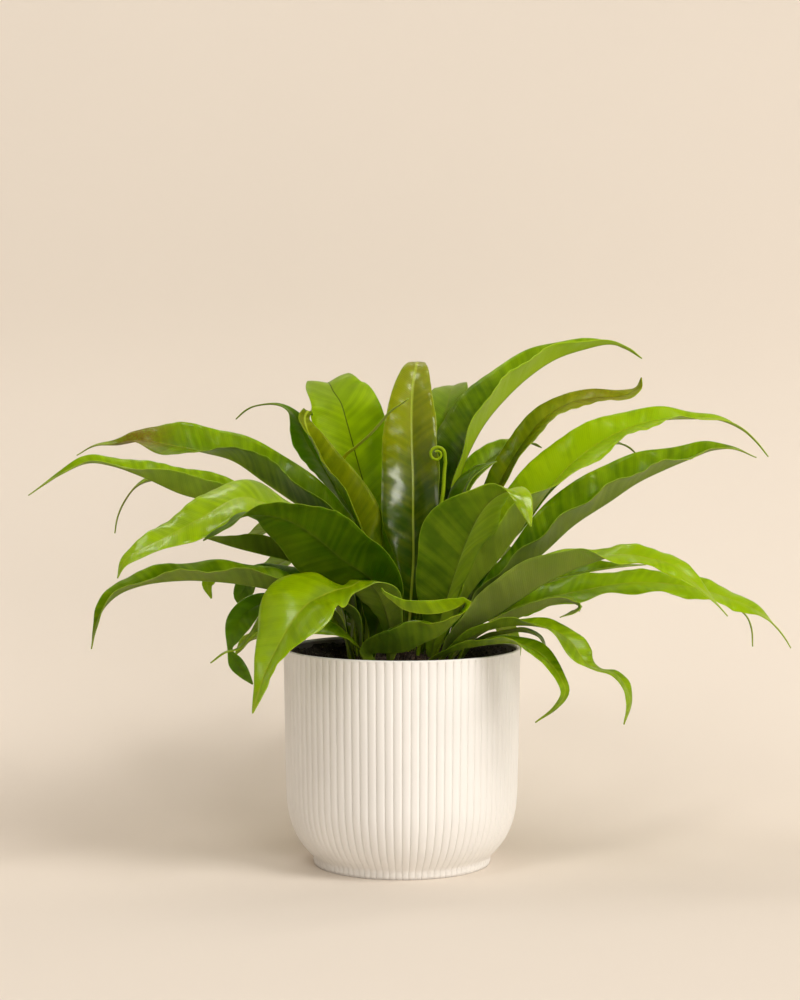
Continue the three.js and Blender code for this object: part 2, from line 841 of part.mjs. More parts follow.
    stations: [
      [24, 13, 142, 2, 0, 0],
      [25.2, 13.7, 158, 2, 0, 0],
      [47, 20, 234, 7, 20, 30],
      [66, 29, 269, 11, 25, 25],
      [80, 38, 298, 13, 35, 15],
      [95, 46, 323, 12.5, 45, 5],
      [114, 55, 345, 11.5, 50, -5],
      [135, 63, 357, 10.5, 50, -15],
      [155, 70, 361, 9.5, 50, -15],
      [175, 76, 362, 8.5, 45, -15],
      [185, 79, 365, 7, 30, -10],
      [192, 81, 370, 4.5, 0, 0],
      [194, 82, 378, 0.7, 0, 0],
    ],
  },
  {
    name: "frond_right_03",
    heading: 12,
    wave: [2.2, 7, 0.2],
    color: LEAF,
    stations: [
      [24, 0, 142, 2, 0, 0],
      [25.2, 0, 158, 2, 0, 0],
      [53, 4, 211, 12, 55, 58],
      [77, 11, 239, 24, 62, 58],
      [99, 20, 268, 27, 66, 42],
      [117, 28, 291, 26, 64, 10],
      [134, 34, 309, 24, 62, -12],
      [157, 41, 326, 20, 62, -15],
      [183, 48, 338, 16, 60, -10],
      [208, 54, 344, 12, 55, 0],
      [232, 60, 345, 8.5, 50, 0],
      [255, 65, 344, 6, 30, 0],
      [274, 69, 336, 4, 10, 0],
      [286, 72, 326, 2.4, 0, 0],
      [296, 74, 314, 0.7, 0, 0],
    ],
  },
  {
    name: "frond_right_04",
    heading: 22,
    wave: [1, 4, 0.2],
    color: LEAF,
    stations: [
      [36, 9, 142, 2, 0, 0],
      [37.8, 9.5, 158, 2, 0, 0],
      [71, 34, 240, 11, 20, -30],
      [102, 44, 276, 12, 30, -15],
      [134, 53, 304, 10, 40, 10],
      [159, 59, 320, 7, 40, 0],
      [173, 62, 325, 4, 30, 0],
      [182, 64, 322, 2.5, 0, 0],
      [189, 65, 316, 0.7, 0, 0],
    ],
  },
  {
    name: "frond_right_05",
    heading: 2,
    wave: [2.2, 7, 1.1],
    color: LEAF,
    stations: [
      [30, -5, 142, 2, 0, 0],
      [31.5, -5.2, 158, 2, 0, 0],
      [61, -2, 200, 13, 40, 45],
      [88, 0, 224, 18, 60, 45],
      [112, 2, 244, 24, 75, 35],
      [133, 4, 263, 27, 80, 28],
      [162, 6, 282, 27, 78, 28],
      [183, 8, 296, 23, 75, 25],
      [204, 10, 306, 18, 70, 20],
      [226, 12, 315, 12, 65, 10],
      [242, 13, 321, 8, 55, 0],
      [259, 14, 322, 4, 30, 0],
      [277, 15, 315, 0.7, 0, 0],
    ],
  },
  {
    name: "frond_right_06",
    heading: 280,
    wave: [1.6, 4, 0.6],
    color: LEAF,
    stations: [
      [20, -13, 142, 2, 0, 0],
      [21, -13.7, 158, 2, 0, 0],
      [29, -22, 193, 14, 30, 10],
      [34, -30, 210, 24, 48, 5],
      [41, -39, 233, 31, 50, 0],
      [49, -48, 256, 37, 38, 0],
      [58, -57, 275, 31, 42, 0],
      [68, -65, 287, 20, 25, 0],
      [79, -72, 293, 12, 10, 5],
      [87, -79, 291, 9, 0, 5],
      [91, -84, 282, 6, 0, 0],
      [95, -87, 267, 0.7, 0, 0],
    ],
  },
  {
    name: "frond_right_07",
    heading: 350,
    wave: [2, 6, 0.3],
    color: LEAF,
    stations: [
      [26, -22, 142, 2, 0, 0],
      [27.3, -23.1, 158, 2, 0, 0],
      [46, -38, 183, 12, 40, 40],
      [64, -45, 194, 19, 60, 60],
      [85, -52, 208, 23, 70, 75],
      [103, -58, 221, 22, 70, 75],
      [120, -63, 231, 19, 60, 68],
      [140, -68, 239, 15, 40, 45],
      [162, -74, 245, 12, 35, -20],
      [182, -79, 243, 11, 40, -30],
      [200, -83, 238, 11, 40, -30],
      [214, -86, 227, 8, 35, -25],
      [226, -88, 216, 5, 20, -10],
      [234, -89, 208, 2.6, 0, 0],
      [240, -90, 201, 0.7, 0, 0],
    ],
  },
  {
    name: "frond_right_08",
    heading: 356,
    wave: [1.2, 4, 0.7],
    color: LEAF,
    stations: [
      [34, -12, 142, 2, 0, 0],
      [35.7, -12.6, 158, 2, 0, 0],
      [68, -11, 201, 8, 40, 20],
      [99, -14, 215, 11, 50, 10],
      [125, -17, 224, 11, 50, 0],
      [152, -20, 230, 9, 45, 0],
      [173, -22, 233, 4, 20, 0],
      [187, -23, 234, 0.7, 0, 0],
    ],
  },
  {
    name: "frond_right_09",
    heading: 354,
    wave: [2, 7, 0.4],
    color: LEAF,
    stations: [
      [34, -20, 142, 2, 0, 0],
      [35.7, -21, 158, 2, 0, 0],
      [56, -28, 189, 9, 20, -5],
      [86, -34, 202, 14, 35, -22],
      [112, -39, 210, 16, 45, -25],
      [139, -43, 216, 15, 48, -22],
      [166, -46, 221, 14, 45, -25],
      [187, -48, 222, 13, 40, -30],
      [211, -51, 220, 13, 40, -30],
      [233, -53, 215, 12, 35, -30],
      [253, -55, 208, 10, 35, -30],
      [269, -57, 200, 7, 20, -20],
      [281, -58, 190, 4, 0, 0],
      [288, -59, 181, 2.2, 0, 0],
      [292, -60, 174, 0.7, 0, 0],
    ],
  },
  {
    name: "frond_right_10",
    heading: 2,
    wave: [1, 5, 0.2],
    color: LEAF,
    stations: [
      [41, -5, 142, 2, 0, 0],
      [43.1, -5.2, 158, 2, 0, 0],
      [76, 2, 203, 8, 20, 10],
      [123, 2, 215, 9, 30, 0],
      [169, 0, 218, 8, 30, 0],
      [216, -2, 213, 7, 25, 0],
      [250, -4, 203, 5, 10, 0],
      [266, -5, 194, 3, 0, 0],
      [271, -5, 183, 2.2, 0, 0],
      [272, -5, 169, 0.7, 0, 0],
    ],
  },
  {
    name: "frond_right_11",
    heading: 338,
    wave: [1, 3, 0.2],
    color: LEAF,
    stations: [
      [34, -27, 142, 2, 0, 0],
      [35.7, -28.4, 158, 2, 0, 0],
      [59, -46, 183, 6, 30, 30],
      [85, -56, 196, 9, 40, 45],
      [107, -64, 206, 9, 40, 40],
      [124, -70, 210, 8, 20, 20],
      [132, -74, 207, 5.5, -10, 20],
      [127, -78, 203, 4.5, -20, 30],
      [117, -80, 199, 0.7, 0, 0],
    ],
  },
  {
    name: "frond_right_12",
    heading: 326,
    wave: [1.6, 6, 0.9],
    color: LEAF,
    stations: [
      [27, -31, 142, 2, 0, 0],
      [28.4, -32.6, 158, 2, 0, 0],
      [47, -56, 180, 6, 20, 30],
      [73, -68, 191, 9, 30, 40],
      [97, -77, 193, 9, 30, 25],
      [114, -83, 189, 11, 25, 0],
      [126, -87, 180, 12, 25, -5],
      [134, -90, 168, 10.5, 20, -5],
      [144, -93, 162, 5.2, 10, 0],
      [156, -95, 159, 5.5, 10, 0],
      [164, -97, 150, 6.2, 10, 0],
      [167, -98, 138, 4.6, 0, 0],
      [163, -99, 122, 0.7, 0, 0],
    ],
  },
  {
    name: "frond_right_13",
    heading: 338,
    wave: [0.8, 3, 0],
    color: DEEP_LEAF,
    stations: [
      [42, -19, 142, 2, 0, 0],
      [44.1, -19.9, 158, 2, 0, 0],
      [59, -34, 177, 5, 20, 20],
      [78, -40, 183, 6, 20, 30],
      [92, -45, 185, 6, 20, 30],
      [104, -49, 181, 4.5, 10, 10],
      [109, -51, 173, 0.7, 0, 0],
    ],
  },
  {
    name: "frond_right_14",
    heading: 310,
    wave: [1.4, 5, 0.3],
    color: LEAF,
    stations: [
      [17, -36, 142, 2, 0, 0],
      [17.9, -37.8, 158, 2, 0, 0],
      [40, -59, 172, 6, 20, 30],
      [62, -70, 178, 8, 30, 30],
      [82, -79, 180, 9, 30, 25],
      [98, -84, 175, 9, 25, 10],
      [109, -88, 166, 7.5, 20, 0],
      [117, -91, 155, 5, 10, 0],
      [120, -92, 145, 4.5, 0, 0],
      [113, -94, 134, 3, 0, 0],
      [98, -96, 123, 0.7, 0, 0],
    ],
  },
  {
    name: "frond_right_15",
    heading: 56,
    wave: [1.2, 4, 0.3],
    color: LEAF,
    stations: [
      [18, 23, 142, 2, 0, 0],
      [18.9, 24.2, 158, 2, 0, 0],
      [30, 29, 234, 8, 20, 20],
      [42, 42, 271, 13, 25, 30],
      [56, 55, 297, 15, 30, 30],
      [73, 69, 313, 13, 35, 20],
      [89, 80, 322, 10, 35, 10],
      [103, 88, 325, 6, 20, 0],
      [114, 93, 321, 0.7, 0, 0],
    ],
  },
  {
    name: "frond_right_16",
    heading: 38,
    wave: [1, 3, 0.3],
    color: DEEP_LEAF,
    stations: [
      [18, 4, 142, 2, 0, 0],
      [18.9, 4.2, 158, 2, 0, 0],
      [32, 2, 226, 5, 15, 15],
      [37, 2, 247, 8, 15, 20],
      [43, 1, 275, 12, 10, 20],
      [51, 4, 296, 13, 5, 25],
      [62, 8, 307, 9, 5, 20],
      [74, 12, 312, 0.7, 0, 0],
    ],
  },
];

// Fronds at the back: stalk x, y, heading, rise at the start, rise at the tip, length, half width, phase.
const BACK = [
  [34, 26, 44, 30, -15, 225, 19, 0.3],
  [24, 33, 62, 44, -30, 250, 21, 1.1],
  [12, 38, 78, 30, -45, 235, 20, 2],
  [0, 33, 92, 50, -28, 240, 21, 2.9],
  [-11, 38, 105, 30, -42, 240, 20, 3.6],
  [-25, 32, 122, 46, -34, 245, 20, 4.4],
  [-32, 26, 142, 26, -44, 142, 16, 5.2],
  [1, 45, 84, 24, -62, 190, 17, 0.8],
  [-22, 40, 118, 24, -60, 180, 16, 1.9],
  [24, 40, 66, 24, -45, 160, 16, 3.1],
  [16, 30.5, 72, 64, -24, 235, 20, 1.5],
  [-8, 31, 99, 68, -26, 230, 20, 0.2],
  [-25, 23, 130, 62, -26, 230, 19, 2.5],
];

// Fronds at the back: start of the stalk, heading, rise at the start and at the tip, length, half width.
function backFrond([x, y, heading, rise, fall, length, half, phase]) {
  const a = (heading * Math.PI) / 180;
  const stations = [
    [x, y, BACK_FOOT, BACK_STALK, 0, 0],
    [x * 1.05, y * 1.05, BACK_FOOT + 16, BACK_STALK, 0, 0],
  ];
  let [px, py, pz] = [x * 1.08, y * 1.08, BACK_FOOT + 24];
  const step = length / BACK_STEPS;
  for (let i = 1; i <= BACK_STEPS; i += 1) {
    const t = i / BACK_STEPS;
    const bend = Math.max(0, (t - BACK_STRAIGHT) / (1 - BACK_STRAIGHT));
    const e = ((rise + (fall - rise) * bend ** BACK_BEND) * Math.PI) / 180;
    const turn = a + BACK_SWAY * Math.sin(2.4 * t + phase);
    px += step * Math.cos(e) * Math.cos(turn);
    py += step * Math.cos(e) * Math.sin(turn);
    pz += step * Math.sin(e);
    const swell = Math.sin(Math.PI * t ** 0.8) ** 0.85;
    const width = i === BACK_STEPS ? BACK_TIP : BACK_NECK + (half - BACK_NECK) * swell;
    const fold = BACK_FOLD + (BACK_FOLD_AT_TIP - BACK_FOLD) * t;
    const left = fold + BACK_RUFFLE * Math.sin(5 * t + phase);
    const right = fold - BACK_RUFFLE * Math.sin(4 * t + phase);
    stations.push([px, py, pz, width, left, right]);
  }
  return stations;
}

function crozier() {
  const path = CROZIER_STEM.map((p) => p.slice());
  const [cx, cy, cz] = CROZIER_CENTRE;
  for (let i = 0; i <= CROZIER_STEPS; i += 1) {
    const t = i / CROZIER_STEPS;
    const a = 2 * Math.PI * COIL_TURNS * t;
    const r = COIL_RADIUS + (COIL_MIDDLE - COIL_RADIUS) * t;
    const thick = COIL_THICK + (COIL_TIP - COIL_THICK) * t;
    path.push([cx + r * Math.cos(a), cy - COIL_STEP * t, cz + r * Math.sin(a), thick]);
  }
  const sides = 6;
  const points = [];
  const faces = [];
  const n = path.length - 1;
  path.forEach(([x, y, z, radius], i) => {
    const before = path[Math.max(0, i - 1)];
    const after = path[Math.min(n, i + 1)];
    const forward = unit([after[0] - before[0], after[1] - before[1], after[2] - before[2]]);
    const side = unit(mix([0, 1, 0], 1, forward, -forward[1]));
    const up = cross(forward, side);
    for (let k = 0; k < sides; k += 1) {
      const a = (2 * Math.PI * k) / sides;
      const out = mix(side, radius * Math.cos(a), up, radius * Math.sin(a));
      points.push([x + out[0], y + out[1], z + out[2]]);
    }
  });
  for (let i = 0; i < n; i += 1) {
    for (let k = 0; k < sides; k += 1) {
      const a = sides * i + k;
      const b = sides * i + ((k + 1) % sides);
      faces.push([a, b, b + sides], [a, b + sides, a + sides]);
    }
  }
  for (let k = 1; k < sides - 1; k += 1) {
    faces.push([0, k + 1, k], [sides * n, sides * n + k, sides * n + k + 1]);
  }
  return bodyFrom(points, faces);
}

// The crown with a plain hole for every stalk.
function crown(fronds) {
  let solid = solidFrom(crownMound());
  for (const frond of fronds) {
    const rows = frondRows(frond, GAP + 0.05).slice(0, 4);
    const [first, second] = rows;
    const down = unit([first[1][0] - second[1][0], first[1][1] - second[1][1], first[1][2] - second[1][2]]);
    rows[0] = first.map((p) => along(p, down, GAP));
    solid = solid.subtract(solidFrom(ribbon(rows)));
  }
  const [x, y] = CROZIER_STEM[0];
  const hole = wasm.Manifold.cylinder(40, CROZIER_RADIUS + 0.5, CROZIER_RADIUS + 0.5, 12);
  solid = solid.subtract(hole.translate([x, y, CROZIER_STEM[0][2] - GAP]));
  return geometryFrom(solid);
}

const backFronds = BACK.map((row, i) => ({
  name: "frond_back_" + String(i + 1).padStart(2, "0"),
  heading: row[2],
  wave: [2.2, 5, row[7]],
  color: i % 3 === 1 ? DEEP_LEAF : LEAF,
  stations: backFrond(row),
}));
const allFronds = [...FRONDS, ...backFronds];

addBody("pot", pot(), OFF_WHITE, 0.6);
addBody("soil", soil(), PEAT, 0.95);
addBody("crown", crown(allFronds), FIBRE, 0.9);
for (const frond of allFronds) {
  addBody(frond.name, ribbon(frondRows(frond, 0)), frond.color, 0.4);
}
addBody("crozier", crozier(), YOUNG_LEAF, 0.45);

export default group;
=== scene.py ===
"""Potted strap-fronded fern in a fluted cover pot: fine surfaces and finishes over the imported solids.

Lengths in the tables are in millimetres, in the frame of the solids; meshes are in metres.
"""
import math

import bpy
import numpy as np
from bpy.props import FloatProperty, FloatVectorProperty, IntProperty, PointerProperty
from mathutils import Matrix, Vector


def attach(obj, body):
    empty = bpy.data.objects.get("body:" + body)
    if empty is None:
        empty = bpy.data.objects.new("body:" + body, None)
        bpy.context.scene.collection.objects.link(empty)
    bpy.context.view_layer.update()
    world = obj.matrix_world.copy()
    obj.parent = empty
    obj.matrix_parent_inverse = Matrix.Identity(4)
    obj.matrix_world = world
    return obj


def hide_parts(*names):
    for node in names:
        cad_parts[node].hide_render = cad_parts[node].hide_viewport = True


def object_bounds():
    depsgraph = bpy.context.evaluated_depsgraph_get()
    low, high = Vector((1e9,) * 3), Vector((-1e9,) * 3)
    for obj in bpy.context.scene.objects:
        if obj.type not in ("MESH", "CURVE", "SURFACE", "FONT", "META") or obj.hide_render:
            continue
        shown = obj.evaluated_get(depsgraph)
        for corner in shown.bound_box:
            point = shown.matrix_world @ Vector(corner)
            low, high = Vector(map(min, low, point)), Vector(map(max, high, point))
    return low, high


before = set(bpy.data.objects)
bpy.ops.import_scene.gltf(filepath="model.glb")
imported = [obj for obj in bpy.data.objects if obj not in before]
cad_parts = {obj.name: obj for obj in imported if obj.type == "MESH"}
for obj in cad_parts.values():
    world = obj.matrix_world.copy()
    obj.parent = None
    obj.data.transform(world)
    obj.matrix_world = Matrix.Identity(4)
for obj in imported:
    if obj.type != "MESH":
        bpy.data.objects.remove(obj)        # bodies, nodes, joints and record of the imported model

CAD_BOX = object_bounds()

bl_info = {
    "name": "Potted Fern",
    "version": (1, 0, 0),
    "blender": (4, 5, 0),
    "location": "3D View > Sidebar > Fern",
    "description": "Builds the pot, soil, crown, fronds and stage of a potted strap-fronded fern",
    "category": "Add Mesh",
}

MM = 0.001
UP = np.array([0, 0, 1])

# Pot: radius and height, of the outside from the foot up and of the inside from the rim down. The
# outside is read evenly up to where it is nearly straight, and from there in a few rows.
POT_UNDERSIDE = [(1, 0), (30, 0), (62, 0), (67.8, 0)]
POT_OUTSIDE = [
    (68.4, 0), (69, 0.5), (69.2, 6.2), (71.9, 8.9), (74.6, 11.9), (77.2, 15), (81.4, 21.2),
    (84.4, 27.4), (86.6, 33.6), (88.2, 39.8), (89.6, 49), (90.3, 71), (91.1, 108), (92, 166.2)]
POT_LIP = [(92, 166.9), (92, 167.4), (91.7, 167.9), (91, 168), (89.8, 168), (89.3, 167.6)]
POT_INSIDE = [(89.2, 166.8), (88.1, 100), (86, 46), (78.5, 24), (69, 13), (56, 6), (20, 6), (2, 6)]
POT_OUTSIDE_ROWS, POT_STRAIGHT_ROWS, POT_INSIDE_ROWS = 62, 8, 26
POT_CURVED_TO, POT_STRAIGHT_FROM = 56, 60
POT_RADIUS = 92

# Ribs: number, height where they end, share of their depth in the first row of the lip, how round they
# are, and the places across one rib where its round is read, closer together near the grooves.
RIBS = 88
RIB_TOP = 166.2
RIB_SHARE_AT_LIP = 0.35
RIB_ROUND = 0.9
RIB_PLACES = [0, 0.035, 0.1, 0.22, 0.4, 0.6, 0.78, 0.9, 0.965]

# Soil: radius and height of its section. The side runs down the wall, under the bed and up the hole.
# Lumps are height and times of averaging, one pair for each size.
SOIL_HOLE, SOIL_BOTTOM, SOIL_WALL, SOIL_EDGE, SOIL_TOP = 52.3, 123.7, 89.1, 162, 150.5
SOIL_SIDE = [
    (88.6, 144), (88.2, 134), (87.6, SOIL_BOTTOM), (75, SOIL_BOTTOM), (62, SOIL_BOTTOM),
    (SOIL_HOLE, SOIL_BOTTOM), (SOIL_HOLE, 132), (SOIL_HOLE, 141)]
SOIL_ROWS, SOIL_COLUMNS = 64, 420
SOIL_LUMPS, SOIL_LUMP_RANGE = [(0.75, 1), (0.6, 6), (0.5, 24)], (-1.6, 2.2)

# Loose crumbs: nearest and furthest from the middle, radius of the largest, how high they lie, how uneven
# and how drawn out they are, and the degrees of latitude and number of sides of each.
CRUMB_FIELD = (56, 86)
LARGEST_CRUMB = 2.2
CRUMB_LIFT = 0.5
CRUMB_UNEVEN, CRUMB_DRAWN_OUT, CRUMB_FLATNESS = (0.7, 1.3), (1, 1.6), 0.7
CRUMB_LEVELS, CRUMB_SIDES = [-60, -20, 20, 60], 6

# Crown: radius and height of its section, and the point of it where the mound begins. Its lumps are given
# as the soil's are; they come in above the smooth foot, over ten millimetres, and none is above the top.
CROWN_SECTION = [
    (1, 124), (30, 124), (48, 124), (51.5, 126), (52, 149), (46, 153.5), (36, 157.6), (24, 160.4),
    (12, 161.6), (1, 162)]
CROWN_MOUND_FROM = 4
CROWN_ROWS, CROWN_COLUMNS = 70, 200
CROWN_LUMPS, CROWN_LUMP_RANGE, CROWN_LUMP_SIZE = [(0.8, 1), (0.9, 8)], (-2, 2.5), 0.9
CROWN_SMOOTH_TO, CROWN_LUMPY_OVER, CROWN_TOP = 140, 10, 164.5

# Brown scales of the crown: nearest and furthest from the middle, ranges of length, half width and lean,
# how far their heading strays from outwards, half thickness, how deep they start in the mound, and the
# shares of the length that are built.
SCALE_FIELD = (6, 49)
SCALE_LENGTH, SCALE_HALF_WIDTH, SCALE_LEAN = (4, 11), (0.35, 0.8), (0.2, 1.0)
SCALE_STRAY = 0.7
SCALE_HALF_THICKNESS, SCALE_SUNK = 0.12, 0.5
SCALE_SHARES = [0, 0.3, 0.6, 0.85, 1]

# Fronds: half thicknesses and half widths. The midrib's three widths are those of its bell curve above,
# below, and where the skin turns upright over it; a blade slimmer than the last value has less midrib.
STALK_HALF_THICKNESS = 1.5
STALK_SHARE_ABOVE = 0.6
BLADE_HALF_THICKNESS = 0.36
MIDRIB_HALF_THICKNESS = 0.8
MIDRIB_RISE = 0.14
MIDRIB_WIDTH_ABOVE, MIDRIB_WIDTH_BELOW, MIDRIB_TURN_WIDTH = 0.9, 1.3, 1.9
MIDRIB_FULL_FROM = 3
LEAST_HALF_WIDTH = 0.6
LEAST_SPREAD = 0.42
MARGIN_BEVEL, MARGIN_ROUND = 0.3, 0.82
SPAN_STEPS = 24
HALF_COLUMNS = 10
FEWEST_ROWS, MOST_ROWS = 70, 170

# Relief of the blade: the half width from which it shows and over which it grows to full, how many more
# waves the right half has and how far they are shifted, height of the ruffled margin, length of one
# ruffle and of its patches, slant of the swells, and height and length of the two kinds of swell.
RELIEF_FROM, RELIEF_OVER = 2.5, 8
RIGHT_WAVES, RIGHT_SHIFT = 0.6, 2.1
RUFFLE_HEIGHT, RUFFLE_LENGTH, RUFFLE_PATCH = 0.45, 12.5, 31
SWELL_SLANT = 0.55
BROAD_SWELL, FINE_SWELL = (0.14, 15), (0.08, 8.7)

# Stalk: its two stations stand at these heights, and the upper one leans out by a twentieth.
STALK_FOOT, STALK_NECK, STALK_LEAN = 142, 158, 1.05
STALK_SECTION = (2, 0, 0)

# Rule of the back fronds: steps along the blade, where it starts, half width at neck and tip, how it
# bends and sways, and how its half blades are raised and ruffled.
BACK_STEPS = 9
BACK_START, BACK_START_LEAN = 166, 1.08
BACK_NECK, BACK_TIP = 3, 0.7
BACK_STRAIGHT, BACK_BEND, BACK_SWAY = 0.08, 1.15, 0.16
BACK_FOLD, BACK_FOLD_AT_TIP, BACK_RUFFLE = 34, 8, 8
BACK_WAVE = (2.2, 5)

# Young coiled frond: places and radius of its stem, the middle of the coil, its turns, first and last
# radius, thickness at its start and tip, and how far it steps to the front. Its finish reads it as a
# strap with this reach across, length and half width.
CROZIER_STEM = [
    (13, -4, 142, 1.9), (13, -4, 166, 1.9), (30, -4, 205, 1.8), (28, -4, 236, 1.7),
    (29, -3, 267, 1.7), (32, -2, 290, 1.7), (33, -2, 306, 1.6), (34, -2, 314, 1.6)]
CROZIER_ROWS, CROZIER_SIDES, CROZIER_OVAL = 70, 16, 0.12
COIL_CENTRE = (27, -2, 318)
COIL_TURNS, COIL_ROWS = 1.35, 60
COIL_RADIUS, COIL_MIDDLE = 6.2, 2.3
COIL_THICK, COIL_TIP = 1.6, 0.9
COIL_STEP = 1.5
CROZIER_STRAP = (3, 200, 9)
CROZIER_FACE, CROZIER_TONE = 0.6, -0.3

# Colours of a frond's lines and marks, of the peat and of the crown's fibre: dark, light and flecks.
UPPER_VEIN, DARK_RIB = (0.02, 0.07, 0.0), (0.03, 0.06, 0.0)
PALE_RIB, PALE_TIP = (0.36, 0.42, 0.03), (0.2, 0.24, 0.07)
LOWER_VEIN, LOWER_RIB, GREY_BELOW = (0.05, 0.09, 0.01), (0.07, 0.1, 0.015), (0.17, 0.195, 0.05)
BROWN_MARK = (0.16, 0.055, 0.008)
LOWER_FACE = ((0.045, 0.09, 0.0), (0.27, 0.37, 0.01))
# Lower face of the darker finish: partly a deeper green, partly painted shade for fronds low in the plant.
DEEP_SHADED_LOWER_FACE = ((0.02, 0.05, 0.0), (0.13, 0.2, 0.002))
PEAT = ((0.008, 0.005, 0.003), (0.05, 0.03, 0.016), (0.3, 0.25, 0.18))
FIBRE = ((0.012, 0.007, 0.003), (0.09, 0.05, 0.02), (0.16, 0.12, 0.05))
# Peat brown inside the pot: partly soil residue, partly painted shade on the inner wall.
PEAT_STAIN_AND_SHADE = (0.05, 0.032, 0.018)

# Peat stain inside the pot, partly soil residue and partly painted shade on the inner wall, in metres:
# it fades out over these radii, below the lip and down in the pot.
STAIN_AND_SHADE_RADIUS, STAIN_AND_SHADE_TOP, STAIN_AND_SHADE_BOTTOM = (0.0892, 0.0895), (0.1655, 0.1672), (0.12, 0.14)

# Stage, in metres: where the floor begins to bend, how far it lies under the foot, how far the sheets
# reach and where they fade out, and the camera.
SWEEP_START = 0.08
SWEEP_REACH, SWEEP_ROWS = (-1.7, 2.4), 83
FLOOR_DROP = 0.0002
FLOOR_END, FLOOR_ROWS = 1.7, 25
SHEET_HALF_WIDTH, SHEET_COLUMNS = 1.8, 25
FADE_FROM, FADE_TO = 1.2, 1.7
CAMERA_PLACE, CAMERA_TILT, SENSOR_WIDTH = (-0.0015, -1.735, 0.3643), 87.3, 36.0

# Lights, in metres: name, setting that holds the power, place, width and height, and colour. All of
# them face the target.
LIGHTS = [
    ("Key light", "key_power", (4.6, -3.3, 6.4), (3.4, 3.4), (1.0, 0.97, 0.94)),
    ("Top light", "top_power", (-0.3, 0.46, 1.7), (1.6, 0.18), (1.0, 0.97, 0.92)),
    ("Front light", "front_power", (0.75, -2.0, 0.72), (0.6, 0.9), (1.0, 0.97, 0.93)),
    ("Left light", "left_power", (-2.4, -2.6, 0.7), (2, 2), (1.0, 0.96, 0.9)),
    ("High light", "high_power", (-0.6, -1.04, 1.85), (0.5, 0.5), (1.0, 0.98, 0.95)),
    ("Right light", "right_power", (2.6, -1.3, 0.6), (1.4, 1.0), (1.0, 0.97, 0.93))]
LIGHT_TARGET = (0, 0, 0.22)
FILL_COLOUR = (1.0, 0.9, 0.77)

